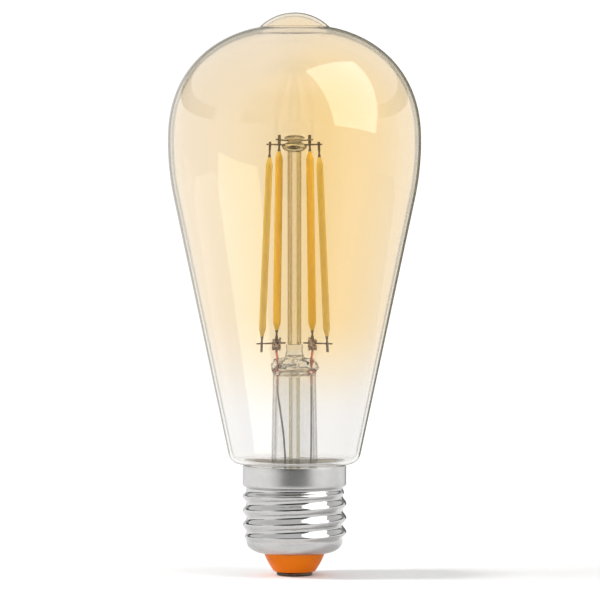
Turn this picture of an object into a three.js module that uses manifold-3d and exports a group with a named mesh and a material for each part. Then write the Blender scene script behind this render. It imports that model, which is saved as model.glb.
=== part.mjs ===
// A pear-shaped filament lamp with an E27 screw cap: an amber glass bulb round a glass stem that carries four
// LED filaments, and a screw cap that holds the driver board. Millimetres, +Z up. The origin is the middle of
// the centre contact's lower face, so the lamp stands on its contact with the bulb at the top, and the two
// front filaments face -Y.
import * as THREE from 'three';
import { mergeVertices } from 'three/addons/utils/BufferGeometryUtils.js';
import Module from 'manifold-3d';

const wasm = await Module();
wasm.setup();

// ---------------------------------------------------------------- driving dimensions

// Screw cap, from the contact upwards
const CONTACT_R = 4.55;
const CONTACT_T = 0.9;
const CONTACT_EDGE_R = 0.4;
const PIN_R = 1.5;
const PIN_BORE_R = 0.95;
const PIN_FLARE = 0.6; // how far its upper end spreads to hold the contact
const INSULATOR_FOOT_R = 5.2;
const INSULATOR_HEAD_R = 7.75;
const INSULATOR_H = 4.7; // exposed height, from the contact to the metal
const INSULATOR_WAIST_R = 6.2; // through the metal's mouth
const INSULATOR_LIP_H = 1.2; // inside the shell
const TAPER_H = 3.0;
const THREAD_H = 13.4;
const THREAD_PITCH = 3.629; // E27, seven turns to the inch
const THREAD_ROOT_R = 12.2;
const THREAD_DEPTH = 0.95;
const THREAD_RUNOUT = 1.8;
const THREAD_ROWS = 6; // rows of faces to each turn of the thread
const SKIRT_STEP_R = 0.9; // how much wider the skirt is than the root of the thread
const SKIRT_H = 5.9;
const SKIRT_STEP_H = 1.0;
const SHEET_T = 0.3; // rolled metal of the cap

// Glass bulb
const GLASS_T = 0.8;
const NECK_DEPTH = 8.6; // how far the neck goes down into the cap
const NECK_FILLET_R = 1.6;
const NECK_LEDGE = 0.4; // flat that rests over the cap's rim
const SHOULDER_R = 3.2; // rounded lower corner of the bulb
const CONE_H = 78.5; // from the shoulder to the widest section
const BULB_R = 32;
const BELLY_ARC_R = 70; // blends the cone into the widest section
const DOME_H = 29.6;
const DOME_POWER = 2.24; // exponent of the dome's superellipse, 2 for an ellipse
const KNOB_H = 2.85; // how far the knob stands over the dome
const KNOB_SPHERE_R = 12.6;

// Stem: a glass tube sealed into the neck, pinched shut round the lead wires at its top
const STEM_WALL = 0.7;
const STEM_FOOT_R = 5.9;
const STEM_HEAD_R = 5.45;
const STEM_H = 27.1; // from the cap's rim to the top of the pinch
const FLARE_H = 7.2;
const PINCH_H = 4.2;
const PINCH_HALF_W = 6.0;
const PINCH_DEPTH = 3.8;
const PINCH_CORNER_R = 1.2;
const PINCH_EDGE = 0.4;
const STEM_CROWN = 1.2; // thickness of the glass that closes the stem
const BOSS_R = 2.6;
const BOSS_H = 3.6;
const EXHAUST_R = 1.4;
const EXHAUST_BORE_R = 0.8;
const EXHAUST_TIP_DROP = 3.6; // how far its sealed tip hangs below the neck
const PILLAR_R = 1.75;
const PILLAR_BORE_R = 0.9;
const BUTTON_CROWN_R = 3.2;
const BUTTON_DISC_R = 2.15;

// Wires
const WIRE_R = 0.2;
const LEAD_R = 0.25;
const SEAL_R = 0.3;
const LEAD_X = 4.3; // where the leads go through the pinch
const CROSSBAR_RISE = 3.8; // over the pinch
const CROSSBAR_OVERHANG = 1.5;
const LINK_OVERHANG = 0.8;

// Filaments. Each weld is [x, y] on the right-hand side, mirrored for the left. The outer pair is in front.
const FILAMENT_L = 45.2;
// footFree and headFree are the bare lengths of tab up to each weld, and the tails are what goes past it.
const OUTER = {
  foot: [8.25, -2.6],
  footFree: 1.9,
  footTail: 2.1,
  head: [6.15, -3.6],
  headFree: 3.2,
  headTail: 0.7,
};
const INNER = {
  foot: [4.55, 0.8],
  footFree: 3.3,
  footTail: -0.35,
  head: [3.85, 3.0],
  headFree: 2.9,
  headTail: 1.3,
};
const COATING_W = 2.1;
const COATING_T = 1.8;
const COATING_END = 1.8; // tapered length at each end
const SUBSTRATE_W = 1.0;
const SUBSTRATE_T = 0.4;
const TAB_W = 0.8;
const TAB_T = 0.2;
const TAB_INSERT = 1.4; // inside the coating
const WELD_SIDE = 0.85; // from a tab's middle plane to its wire

// Clamp that folds round a lead, a filament's tab and a lower wire
const CLAMP_W = 2.4;
const CLAMP_D = 1.8;
const CLAMP_H = 3.3;
const CLAMP_T = 0.3;

// Driver, inside the cap
const BOARD_W = 17;
const BOARD_H = 10.2;
const BOARD_T = 1.0;
const BOARD_Y = 2.3; // its front face
const CAPACITOR_R = 3.15;
const CAPACITOR_H = 7.4;
const COIL_R = 2.6;
const COIL_H = 4.6;
const RESISTOR_R = 1.2;
const RESISTOR_H = 5.4;
const CHIP_T = 1.4;
const RADIO_BOARD_T = 0.8;
const SLEEVE_T = 0.25;

// Clearances
const JOINT_GAP = 0.3; // between fused, cemented or seated pieces
const WIRE_GAP = 0.12; // round a wire, and at a weld
const TURNS = 48; // flat sides round a large circle
const WIRE_SIDES = 6;

// ---------------------------------------------------------------- heights and radii that follow from them

const shellZ = CONTACT_T + INSULATOR_H;
const threadZ = shellZ + TAPER_H;
const skirtZ = threadZ + THREAD_H;
const rimZ = skirtZ + SKIRT_H;
const neckZ = rimZ - NECK_DEPTH;
const skirtR = THREAD_ROOT_R + SKIRT_STEP_R;
const neckR = THREAD_ROOT_R - SHEET_T - JOINT_GAP;
const insulatorTopZ = shellZ + SHEET_T + JOINT_GAP + INSULATOR_LIP_H;
const ledgeZ = rimZ + JOINT_GAP;
const shoulderCentre = [neckR + NECK_FILLET_R + NECK_LEDGE, ledgeZ + SHOULDER_R];
const bellyZ = shoulderCentre[1] + CONE_H;
const knobTopZ = bellyZ + DOME_H + KNOB_H;
const pinchZ = rimZ + STEM_H;
const stemHeadZ = pinchZ - PINCH_H;
const pillarZ = pinchZ + BOSS_H;
const crossbarZ = pinchZ + CROSSBAR_RISE;
const headZ = (pair) => crossbarZ + pair.footFree + FILAMENT_L + pair.headFree;
const crownZ = headZ(OUTER) - 0.2; // height of the outer link wire in the button
const waistZ = crownZ + 1.0; // and of the inner one
const buttonZ = crownZ - 1.7;
const boardZ = insulatorTopZ + PIN_FLARE + 0.2;

// ---------------------------------------------------------------- materials

const material = (color, roughness, metalness) => {
  return new THREE.MeshStandardMaterial({ color, roughness, metalness });
};
const glass = (color) =>
  new THREE.MeshStandardMaterial({ color, roughness: 0.03, metalness: 0, transparent: true, opacity: 0.3 });
const amberGlass = glass(0xf2c878);
const clearGlass = glass(0xe6ecea);
const nickelPlate = material(0xc9cbcc, 0.2, 1);
const brassPlate = material(0x8a8378, 0.35, 1);
const steelWire = material(0x8b867e, 0.35, 1);
const copperWire = material(0xb4633f, 0.35, 1);
const phosphor = material(0xe79a2a, 0.55, 0);
const ceramic = material(0xe8e4da, 0.5, 0);
const orangePlastic = material(0xe06c08, 0.35, 0);
const cement = material(0xd8d0bd, 0.9, 0);
const boardGreen = material(0x1f6b3c, 0.45, 0);
const blackMoulding = material(0x1b1b1d, 0.5, 0);
const aluminiumCan = material(0xa9acb0, 0.3, 1);
const resistorBody = material(0x7fa6a0, 0.5, 0);
const insulatingFilm = material(0xd9d2bf, 0.6, 0);
const enamelWire = material(0x7a3b1c, 0.35, 0);

// ---------------------------------------------------------------- shape helpers

// A solid turned about Z from [radius, height] points: up the outside, or down the inside and up the outside.
function revolve(points, segments = TURNS) {
  const profile = points.map(([r, z]) => new THREE.Vector2(r, z));
  return new THREE.LatheGeometry(profile, segments).rotateX(Math.PI / 2);
}

// The same for a ring, whose profile closes on itself.
const revolveRing = (points, segments = TURNS) => revolve([...points, points[0]], segments);

function tubeBetween(innerR, outerR, lowZ, highZ, segments = TURNS) {
  const corners = [
    [innerR, lowZ],
    [outerR, lowZ],
    [outerR, highZ],
    [innerR, highZ],
  ];
  return revolveRing(corners, segments);
}

// A block given by its lowest and highest corners.
function block(low, high) {
  const size = high.map((value, axis) => value - low[axis]);
  const middle = high.map((value, axis) => (value + low[axis]) / 2);
  return new THREE.BoxGeometry(...size).translate(...middle);
}

// An upright cylinder standing at [x, y, z].
function pillar(radius, height, [x, y, z], segments = 16) {
  const geometry = new THREE.CylinderGeometry(radius, radius, height, segments).rotateX(Math.PI / 2);
  return geometry.translate(x, y, z + height / 2);
}

// A round wire through its points: straight between two, a smooth curve through more.
function wire(points, radius = WIRE_R, steps = 16) {
  const section = new THREE.Shape();
  section.absarc(0, 0, radius, 0, Math.PI * 2, false);
  const knots = points.map((point) => new THREE.Vector3(...point));
  if (knots.length === 2) {
    const extrudePath = new THREE.LineCurve3(...knots);
    return new THREE.ExtrudeGeometry(section, { steps: 1, curveSegments: WIRE_SIDES / 2, extrudePath });
  }
  const extrudePath = new THREE.CatmullRomCurve3(knots, false, 'centripetal');
  return new THREE.ExtrudeGeometry(section, { steps, curveSegments: WIRE_SIDES / 2, extrudePath });
}

// A closed mesh as a manifold-3d solid.
function solid(geometry) {
  const bare = geometry.clone();
  bare.deleteAttribute('normal');
  bare.deleteAttribute('uv');
  const merged = mergeVertices(bare, 1e-4);
  const corners = merged.index.array;
  const triVerts = [];
  for (let i = 0; i < corners.length; i += 3) {
    const [a, b, c] = corners.slice(i, i + 3);
    if (a !== b && b !== c && c !== a) triVerts.push(a, b, c);
  }
  const vertProperties = merged.attributes.position.array;
  const mesh = new wasm.Mesh({ numProp: 3, vertProperties, triVerts: new Uint32Array(triVerts) });
  return new wasm.Manifold(mesh);
}

// A manifold-3d solid as a mesh.
function geometryOf(made) {
  const mesh = made.getMesh();
  const geometry = new THREE.BufferGeometry();
  geometry.setAttribute('position', new THREE.BufferAttribute(new Float32Array(mesh.vertProperties), 3));
  geometry.setIndex(new THREE.BufferAttribute(new Uint32Array(mesh.triVerts), 1));
  geometry.computeVertexNormals();
  return geometry;
}

const cut = (body, ...tools) => {
  return geometryOf(tools.reduce((left, tool) => left.subtract(solid(tool)), solid(body)));
};
const join = (...bodies) => geometryOf(bodies.map(solid).reduce((sum, body) => sum.add(body)));

const lamp = new THREE.Group();

function add(name, geometry, look, parent = lamp) {
  const mesh = new THREE.Mesh(geometry, look);
  mesh.name = name;
  parent.add(mesh);
}

// Points of an arc in the profile plane, its angles in degrees from the outward direction.
function arc([r, z], radius, from, to, steps) {
  return Array.from({ length: steps + 1 }, (_, i) => {
    const a = THREE.MathUtils.degToRad(from + ((to - from) * i) / steps);
    return [r + radius * Math.cos(a), z + radius * Math.sin(a)];
  });
}

// A profile moved inwards by a wall: each point goes square to the chord between its neighbours.
function inset(profile, wall) {
  return profile.map(([r, z], i) => {
    const [r0, z0] = profile[Math.max(i - 1, 0)];
    const [r1, z1] = profile[Math.min(i + 1, profile.length - 1)];
    const length = Math.hypot(r1 - r0, z1 - z0);
    return [Math.max(r - (wall * (z1 - z0)) / length, 0), z + (wall * (r1 - r0)) / length];
  });
}

const sides = { left: -1, right: 1 };

// ---------------------------------------------------------------- glass bulb

// The lean of the cone, which is the common tangent of the shoulder's arc and the belly's arc.
function coneLean(bellyCentre) {
  const [dr, dz] = [bellyCentre[0] - shoulderCentre[0], bellyCentre[1] - shoulderCentre[1]];
  const lean = Math.atan2(dz, dr) - Math.acos((SHOULDER_R - BELLY_ARC_R) / Math.hypot(dr, dz));
  return THREE.MathUtils.radToDeg(lean);
}

// Outer outline from the neck's lower end to the middle of the knob.
function bulbOutline() {
  const bellyCentre = [BULB_R - BELLY_ARC_R, bellyZ];
  const lean = coneLean(bellyCentre);
  const dome = Array.from({ length: 9 }, (_, i) => {
    const a = THREE.MathUtils.degToRad(9 + i * 8.1);
    return [BULB_R * Math.cos(a) ** (2 / DOME_POWER), bellyZ + DOME_H * Math.sin(a) ** (2 / DOME_POWER)];
  });
  return [
    [neckR, neckZ],
    ...arc([neckR + NECK_FILLET_R, ledgeZ - NECK_FILLET_R], NECK_FILLET_R, 180, 90, 2),
    ...arc(shoulderCentre, SHOULDER_R, -90, lean, 3),
    ...arc(bellyCentre, BELLY_ARC_R, lean, 0, 4),
    ...dome,
    ...arc([0, knobTopZ - KNOB_SPHERE_R], KNOB_SPHERE_R, 45, 81, 3),
    [0, knobTopZ],
  ];
}

function addBulb() {
  const outer = bulbOutline();
  const inner = inset(outer, GLASS_T);
  inner[0] = [neckR - GLASS_T, neckZ];
  inner[inner.length - 1] = [0, knobTopZ - GLASS_T];
  add('glass_envelope', revolve([...inner.reverse(), ...outer]), amberGlass);
}

// ---------------------------------------------------------------- screw cap

// Lifts the part of a turned shell between threadZ and skirtZ into a right-handed rolled thread.
function rollThread(geometry) {
  const place = geometry.attributes.position;
  for (let i = 0; i < place.count; i += 1) {
    const [x, y, z] = [place.getX(i), place.getY(i), place.getZ(i)];
    const fromEnd = Math.min(z - threadZ, skirtZ - z);
    if (fromEnd <= 0) continue;
    const runout = THREE.MathUtils.smoothstep(fromEnd, 0, THREAD_RUNOUT);
    const turn = z / THREAD_PITCH - Math.atan2(y, x) / (2 * Math.PI);
    const lift = THREAD_DEPTH * runout * (0.5 + 0.5 * Math.cos(2 * Math.PI * turn));
    const scale = 1 + lift / Math.hypot(x, y);
    place.setXY(i, x * scale, y * scale);
  }
  return geometry;
}

function addShell() {
  const mouthR = INSULATOR_WAIST_R + JOINT_GAP;
  const taper = Array.from({ length: 5 }, (_, i) => {
    const a = (i / 4) * (Math.PI / 2);
    const spread = THREAD_ROOT_R - INSULATOR_HEAD_R;
    return [INSULATOR_HEAD_R + spread * Math.sin(a), threadZ - TAPER_H * Math.cos(a)];
  });
  const threadRows = Math.round((THREAD_H / THREAD_PITCH) * THREAD_ROWS);
  const thread = Array.from({ length: threadRows - 1 }, (_, i) => {
    return [THREAD_ROOT_R, threadZ + (THREAD_H * (i + 1)) / threadRows];
  });
  const outer = [
    ...taper,
    ...thread,
    [THREAD_ROOT_R, skirtZ],
    [skirtR - 0.2, skirtZ + SKIRT_STEP_H / 2],
    [skirtR, skirtZ + SKIRT_STEP_H],
    [skirtR, rimZ],
  ];
  const inner = inset(outer, SHEET_T);
  inner[0] = [INSULATOR_HEAD_R - SHEET_T, shellZ + SHEET_T];
  inner[inner.length - 1] = [skirtR - SHEET_T, rimZ];
  const mouth = [
    [mouthR, shellZ + SHEET_T],
    [mouthR, shellZ],
  ];
  add('screw_shell', rollThread(revolveRing([...mouth, ...outer, ...inner.reverse()])), nickelPlate);
}

function addInsulator() {
  const boreR = PIN_R + JOINT_GAP / 2;
  const lipZ = shellZ + SHEET_T + JOINT_GAP;
  const bulge = 0.25; // the cone is slightly round
  const profile = [
    [boreR, CONTACT_T],
    [INSULATOR_FOOT_R, CONTACT_T],
    [(INSULATOR_FOOT_R + INSULATOR_HEAD_R) / 2 + bulge, CONTACT_T + INSULATOR_H * 0.45],
    [INSULATOR_HEAD_R - bulge / 2, CONTACT_T + INSULATOR_H * 0.85],
    [INSULATOR_HEAD_R, shellZ],
    [INSULATOR_WAIST_R, shellZ],
    [INSULATOR_WAIST_R, lipZ],
    [INSULATOR_WAIST_R + 0.9, lipZ],
    [INSULATOR_WAIST_R + 0.6, insulatorTopZ],
    [boreR, insulatorTopZ],
  ];
  add('insulator', revolveRing(profile, 28), orangePlastic);
}

function addContact() {
  const pinTopZ = insulatorTopZ + PIN_FLARE;
  const profile = [
    [0, 0],
    [CONTACT_R - CONTACT_EDGE_R, 0],
    [CONTACT_R - CONTACT_EDGE_R * 0.29, CONTACT_EDGE_R * 0.29],
    [CONTACT_R, CONTACT_EDGE_R],
    [CONTACT_R, CONTACT_T],
    [PIN_R, CONTACT_T],
    [PIN_R, insulatorTopZ],
    [PIN_R + PIN_FLARE, insulatorTopZ],
    [PIN_R + PIN_FLARE * 0.7, pinTopZ],
    [PIN_BORE_R, pinTopZ],
    [PIN_BORE_R, CONTACT_T + 1],
    [0, CONTACT_T + 1],
  ];
  add('centre_contact', revolve(profile, 24), brassPlate);
}

function addCement() {
  const [innerR, outerR] = [neckR + JOINT_GAP, skirtR - SHEET_T - JOINT_GAP];
  const [lowZ, highZ] = [skirtZ + SKIRT_STEP_H, ledgeZ - NECK_FILLET_R + JOINT_GAP];
  add('capping_cement', tubeBetween(innerR, outerR, lowZ, highZ), cement);
}

// ---------------------------------------------------------------- stem, pillar and button

// The seal wires go up through the pinch and bend back into the clamps.
const sealPath = (side) => [
  [side * LEAD_X, 0, stemHeadZ - 2.6],
  [side * LEAD_X, 0, stemHeadZ + 1],
  [side * LEAD_X, 0, pinchZ - 0.2],
  [side * INNER.foot[0], INNER.foot[1], pinchZ + 1.5],
  [side * INNER.foot[0], INNER.foot[1], crossbarZ - WIRE_R - WIRE_GAP],
];

// The flattened end of the stem, with rounded corners and softened edges.
function pinchBlock() {
  const outline = new THREE.Shape();
  const [x, y] = [PINCH_HALF_W - PINCH_CORNER_R, PINCH_DEPTH / 2 - PINCH_CORNER_R];
  const corners = [[x, y], [-x, y], [-x, -y], [x, -y]];
  corners.forEach(([cx, cy], i) => {
    outline.absarc(cx, cy, PINCH_CORNER_R, (i * Math.PI) / 2, ((i + 1) * Math.PI) / 2, false);
  });
  const geometry = new THREE.ExtrudeGeometry(outline, {
    depth: PINCH_H - 2 * PINCH_EDGE,
    curveSegments: 2,
    bevelThickness: PINCH_EDGE,
    bevelSize: PINCH_EDGE,
    bevelOffset: -PINCH_EDGE,
    bevelSegments: 1,
  });
  return geometry.translate(0, 0, stemHeadZ + PINCH_EDGE);
}

function addStem() {
  const mouthR = neckR - GLASS_T - JOINT_GAP;
  const flare = Array.from({ length: 6 }, (_, i) => {
    const a = (i / 5) * (Math.PI / 2);
    return [mouthR - (mouthR - STEM_FOOT_R) * Math.sin(a), neckZ + FLARE_H * (1 - Math.cos(a))];
  });
  const outer = [...flare, [STEM_HEAD_R, stemHeadZ]];
  const inner = inset(outer, STEM_WALL);
  inner[0] = [mouthR - STEM_WALL, neckZ];
  inner[inner.length - 1] = [STEM_HEAD_R - STEM_WALL, stemHeadZ - STEM_CROWN];
  const roof = [
    [STEM_HEAD_R - STEM_WALL, stemHeadZ + STEM_CROWN],
    [0, stemHeadZ + STEM_CROWN],
  ];
  const ceiling = [
    [0, stemHeadZ],
    [STEM_HEAD_R - STEM_WALL - STEM_CROWN, stemHeadZ],
  ];
  const tube = revolve([...ceiling, ...inner.reverse(), ...outer, ...roof], 24);
  const boss = [
    [0, pinchZ - 1],
    [BOSS_R, pinchZ - 1],
    [PILLAR_R + 0.35, pillarZ],
    [0, pillarZ],
  ];
  const holes = Object.values(sides).map((side) => wire(sealPath(side), SEAL_R + WIRE_GAP));
  add('stem', cut(join(tube, pinchBlock(), revolve(boss, 20)), ...holes), clearGlass);
}

function addExhaustTube() {
  const [tipZ, topZ] = [neckZ - EXHAUST_TIP_DROP, stemHeadZ - JOINT_GAP];
  const outside = [
    [0, tipZ],
    [EXHAUST_R * 0.6, tipZ + 0.2],
    [EXHAUST_R, tipZ + 1.2],
    [EXHAUST_R, topZ],
  ];
  const inside = [
    [EXHAUST_BORE_R, topZ],
    [EXHAUST_BORE_R, tipZ + 1.6],
    [0, tipZ + 1.2],
  ];
  add('exhaust_tube', revolve([...outside, ...inside], 12), clearGlass);
}

function addPillar() {
  add('glass_pillar', tubeBetween(PILLAR_BORE_R, PILLAR_R, pillarZ, buttonZ, 16), clearGlass);
}

// A link wire runs from one filament's head to the other's, through the button on the axis.
function linkPath(pair, middleZ) {
  const [headX, headY] = pair.head;
  const wireY = headY - WELD_SIDE;
  const endX = headX + LINK_OVERHANG;
  const endZ = headZ(pair) + ((headZ(pair) - middleZ) * LINK_OVERHANG) / headX;
  return [
    [-endX, (wireY * endX) / headX, endZ],
    [-headX, wireY, headZ(pair)],
    [0, 0, middleZ],
    [headX, wireY, headZ(pair)],
    [endX, (wireY * endX) / headX, endZ],
  ];
}

const outerLink = linkPath(OUTER, crownZ);
const innerLink = linkPath(INNER, waistZ);

function addButton() {
  const profile = [
    [0, buttonZ],
    [PILLAR_R, buttonZ],
    [BUTTON_CROWN_R - 0.5, buttonZ + 0.7],
    [BUTTON_CROWN_R, buttonZ + 1.4],
    [BUTTON_CROWN_R - 0.2, buttonZ + 2.0],
    [BUTTON_DISC_R - 0.4, buttonZ + 2.3],
    [BUTTON_DISC_R - 0.5, buttonZ + 3.0],
    [BUTTON_DISC_R, buttonZ + 3.3],
    [BUTTON_DISC_R, buttonZ + 3.8],
    [BUTTON_DISC_R - 0.6, buttonZ + 4.2],
    [0, buttonZ + 4.3],
  ];
  const holes = [outerLink, innerLink].map((path) => wire(path, WIRE_R + WIRE_GAP));
  add('pillar_button', cut(revolve(profile, 20), ...holes), clearGlass);
  add('outer_link_wire', wire(outerLink), steelWire);
  add('inner_link_wire', wire(innerLink), steelWire);
}

// ---------------------------------------------------------------- filaments and their wires

// A filament stands in its own frame: the origin at its lower weld and +Z along it.
function addFilament(name, side, pair) {
  const foot = new THREE.Vector3(side * pair.foot[0], pair.foot[1], crossbarZ);
  const head = new THREE.Vector3(side * pair.head[0], pair.head[1], headZ(pair));
  const frame = new THREE.Group();
  frame.position.copy(foot);
  frame.quaternion.setFromUnitVectors(new THREE.Vector3(0, 0, 1), head.clone().sub(foot).normalize());
  lamp.add(frame);

  const [lowZ, highZ] = [pair.footFree, pair.footFree + FILAMENT_L];
  const halfW = COATING_W / 2;
  const taper = [0, 1, 2, 3].map((i) => {
    const share = i / 3;
    return [halfW * (1 - 0.65 * (1 - share) ** 2), COATING_END * share];
  });
  const lower = taper.map(([r, z]) => [r, lowZ + z]);
  const upper = taper.map(([r, z]) => [r, highZ - z]).reverse();
  const coating = revolve([[0, lowZ], ...lower, ...upper, [0, highZ]], 12).scale(1, COATING_T / COATING_W, 1);

  // Strips lie in the middle of the coating: a substrate, a tab at each end, and the room that they need.
  const strip = (width, thickness, z0, z1) => {
    return block([-width / 2, -thickness / 2, z0], [width / 2, thickness / 2, z1]);
  };
  const room = 2 * WIRE_GAP;
  const [coreLowZ, coreHighZ] = [lowZ + TAB_INSERT, highZ - TAB_INSERT];
  const pocket = strip(SUBSTRATE_W + room, SUBSTRATE_T + room, coreLowZ, coreHighZ);
  const slot = strip(TAB_W + room, TAB_T + room, lowZ - 1, highZ + 1);
  const substrate = strip(SUBSTRATE_W, SUBSTRATE_T, coreLowZ + WIRE_GAP, coreHighZ - WIRE_GAP);
  const lowerTab = strip(TAB_W, TAB_T, -pair.footTail, coreLowZ - WIRE_GAP);
  const upperTab = strip(TAB_W, TAB_T, coreHighZ + WIRE_GAP, highZ + pair.headFree + pair.headTail);
  add(name + '_phosphor', cut(coating, pocket, slot), phosphor, frame);
  add(name + '_substrate', substrate, ceramic, frame);
  add(name + '_lower_tab', lowerTab, steelWire, frame);
  add(name + '_upper_tab', upperTab, steelWire, frame);
}

// A lower crossbar runs level from behind the inner filament, through its clamp, past the outer one's foot.
function crossbarPath(side) {
  const [innerX, innerY] = INNER.foot;
  const [outerX, outerY] = [OUTER.foot[0], OUTER.foot[1] + WELD_SIDE];
  const along = (share) => [innerX + (outerX - innerX) * share, innerY + (outerY - innerY) * share];
  const overhang = CROSSBAR_OVERHANG / Math.hypot(outerX - innerX, outerY - innerY);
  return [along(-1.8 * overhang), along(1 + overhang)].map(([x, y]) => [side * x, y, crossbarZ]);
}

function addClamp(name, side) {
  const [x, y] = [side * INNER.foot[0], INNER.foot[1]];
  const [lowZ, highZ] = [crossbarZ - CLAMP_H * 0.55, crossbarZ + CLAMP_H * 0.45];
  const [halfW, halfD] = [CLAMP_W / 2, CLAMP_D / 2];
  const body = block([x - halfW, y - halfD, lowZ], [x + halfW, y + halfD, highZ]);
  const inside = [halfW - CLAMP_T, halfD - CLAMP_T];
  const passage = block([x - inside[0], y - inside[1], lowZ - 1], [x + inside[0], y + inside[1], highZ + 1]);
  add(name, cut(body, passage, wire(crossbarPath(side), WIRE_R + WIRE_GAP)), steelWire);
}

// ---------------------------------------------------------------- driver

const boardTopZ = boardZ + BOARD_H;
const boardBackY = BOARD_Y + BOARD_T;
const partY = BOARD_Y - JOINT_GAP; // how near the tall round parts come to the board
const resistorFoot = [0, partY - 5.6, boardZ + 0.9];

// A lead drops from its seal wire through the stem to a pad at the top of the driver board.
function leadPath(side) {
  const closeness = side < 0 ? 0.62 : 0.88; // the left one crosses the stem aslant
  const padX = BOARD_W / 2 - 2.9;
  const padY = BOARD_Y - LEAD_R - WIRE_GAP;
  const seal = sealPath(side)[0];
  const stemX = side * LEAD_X * closeness;
  return [
    [seal[0], 0, seal[2] - WIRE_GAP],
    [seal[0], 0, seal[2] - 1.4],
    [stemX, 0.3, neckZ + FLARE_H + 8],
    [stemX, 0.6, neckZ + FLARE_H - 1],
    [side * padX, padY, boardTopZ + 0.6],
    [side * padX, padY, boardTopZ - 1.6],
  ];
}

function addBoards() {
  const board = block([-BOARD_W / 2, BOARD_Y, boardZ], [BOARD_W / 2, boardBackY, boardTopZ]);
  add('driver_board', board, boardGreen);
  const radioY = boardBackY + RADIO_BOARD_T;
  add('radio_board', block([-1.2, boardBackY, boardZ + 1.0], [7.6, radioY, boardZ + 8.6]), boardGreen);
  const shield = block([-0.4, radioY, boardZ + 1.4], [6.8, radioY + CHIP_T, boardZ + 6.4]);
  add('radio_shield', shield, aluminiumCan);
  const rectifier = block([2.4, BOARD_Y - CHIP_T, boardZ + 5.4], [6.9, BOARD_Y, boardZ + 7.9]);
  add('bridge_rectifier', rectifier, blackMoulding);
  const chip = block([-7.6, boardBackY, boardZ + 1.2], [-2.8, boardBackY + CHIP_T, boardZ + 5.0]);
  add('driver_chip', chip, blackMoulding);
}

function addRoundParts() {
  const canPlace = [-5.0, partY - CAPACITOR_R, boardZ];
  add('smoothing_capacitor', pillar(CAPACITOR_R, CAPACITOR_H, canPlace, 20), aluminiumCan);
  add('fusible_resistor', pillar(RESISTOR_R, RESISTOR_H, resistorFoot, 14), resistorBody);
  const coilPlace = [4.6, partY - COIL_R, boardZ];
  const [cheekT, coreR] = [0.6, COIL_R / 2];
  const bobbin = [
    [0, 0],
    [COIL_R, 0],
    [COIL_R, cheekT],
    [coreR, cheekT],
    [coreR, COIL_H - cheekT],
    [COIL_R, COIL_H - cheekT],
    [COIL_R, COIL_H],
    [0, COIL_H],
  ];
  add('inductor_core', revolve(bobbin, 20).translate(...coilPlace), blackMoulding);
  const winding = tubeBetween(coreR + 0.15, COIL_R - 0.25, cheekT + 0.15, COIL_H - cheekT - 0.15, 20);
  add('inductor_winding', winding.translate(...coilPlace), enamelWire);
}

function addDriverWires() {
  const [footX, footY, footZ] = resistorFoot;
  const contactWire = [
    [0, 0, CONTACT_T + 1.4],
    [0, 0, insulatorTopZ + 0.3],
    [0, -1.2, insulatorTopZ + 1],
    [footX, footY, footZ - WIRE_GAP - 0.3],
    [footX, footY, footZ - WIRE_GAP],
  ];
  add('contact_wire', wire(contactWire, LEAD_R), steelWire);
  const resistorTopZ = footZ + RESISTOR_H + WIRE_GAP;
  const resistorLead = [
    [footX, footY, resistorTopZ],
    [footX, footY + 1.2, resistorTopZ + 1.0],
    [footX, BOARD_Y - WIRE_GAP, resistorTopZ + 0.6],
  ];
  add('resistor_lead', wire(resistorLead, LEAD_R), steelWire);
  const shellWire = [
    [BOARD_W / 2 - 1, BOARD_Y - LEAD_R - WIRE_GAP, boardZ + 2.2],
    [BOARD_W / 2 - 0.4, BOARD_Y - 0.9, boardZ + 0.8],
    [THREAD_ROOT_R - 2.2, 0.6, threadZ - 0.6],
  ];
  add('shell_wire', wire(shellWire, LEAD_R), steelWire);
}

function addSleeve() {
  const sleeve = tubeBetween(neckR - SLEEVE_T, neckR, threadZ + 0.8, neckZ - JOINT_GAP);
  add('driver_sleeve', sleeve, insulatingFilm);
}

// ---------------------------------------------------------------- assembly

addBulb();
addShell();
addInsulator();
addContact();
addCement();
addStem();
addExhaustTube();
addPillar();
addButton();
for (const [name, side] of Object.entries(sides)) {
  addFilament('outer_' + name, side, OUTER);
  addFilament('inner_' + name, side, INNER);
  add('crossbar_' + name, wire(crossbarPath(side)), steelWire);
  addClamp('clamp_' + name, side);
  add('seal_wire_' + name, wire(sealPath(side), SEAL_R), copperWire);
  add('lead_wire_' + name, wire(leadPath(side), LEAD_R), steelWire);
}
addBoards();
addRoundParts();
addDriverWires();
addSleeve();

export default lamp;
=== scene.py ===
"""An amber filament lamp with an E27 screw cap, finished for rendering.

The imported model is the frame. Lengths in this file are in millimetres, in the frame's own axes, and are
turned into metres when a mesh is made. Each piece of glass, metal and wiring that shows is made again here
with a smooth surface, from the place and size of the node that it replaces.
"""

import math

import bmesh
import bpy
from mathutils import Matrix, Vector, noise


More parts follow.
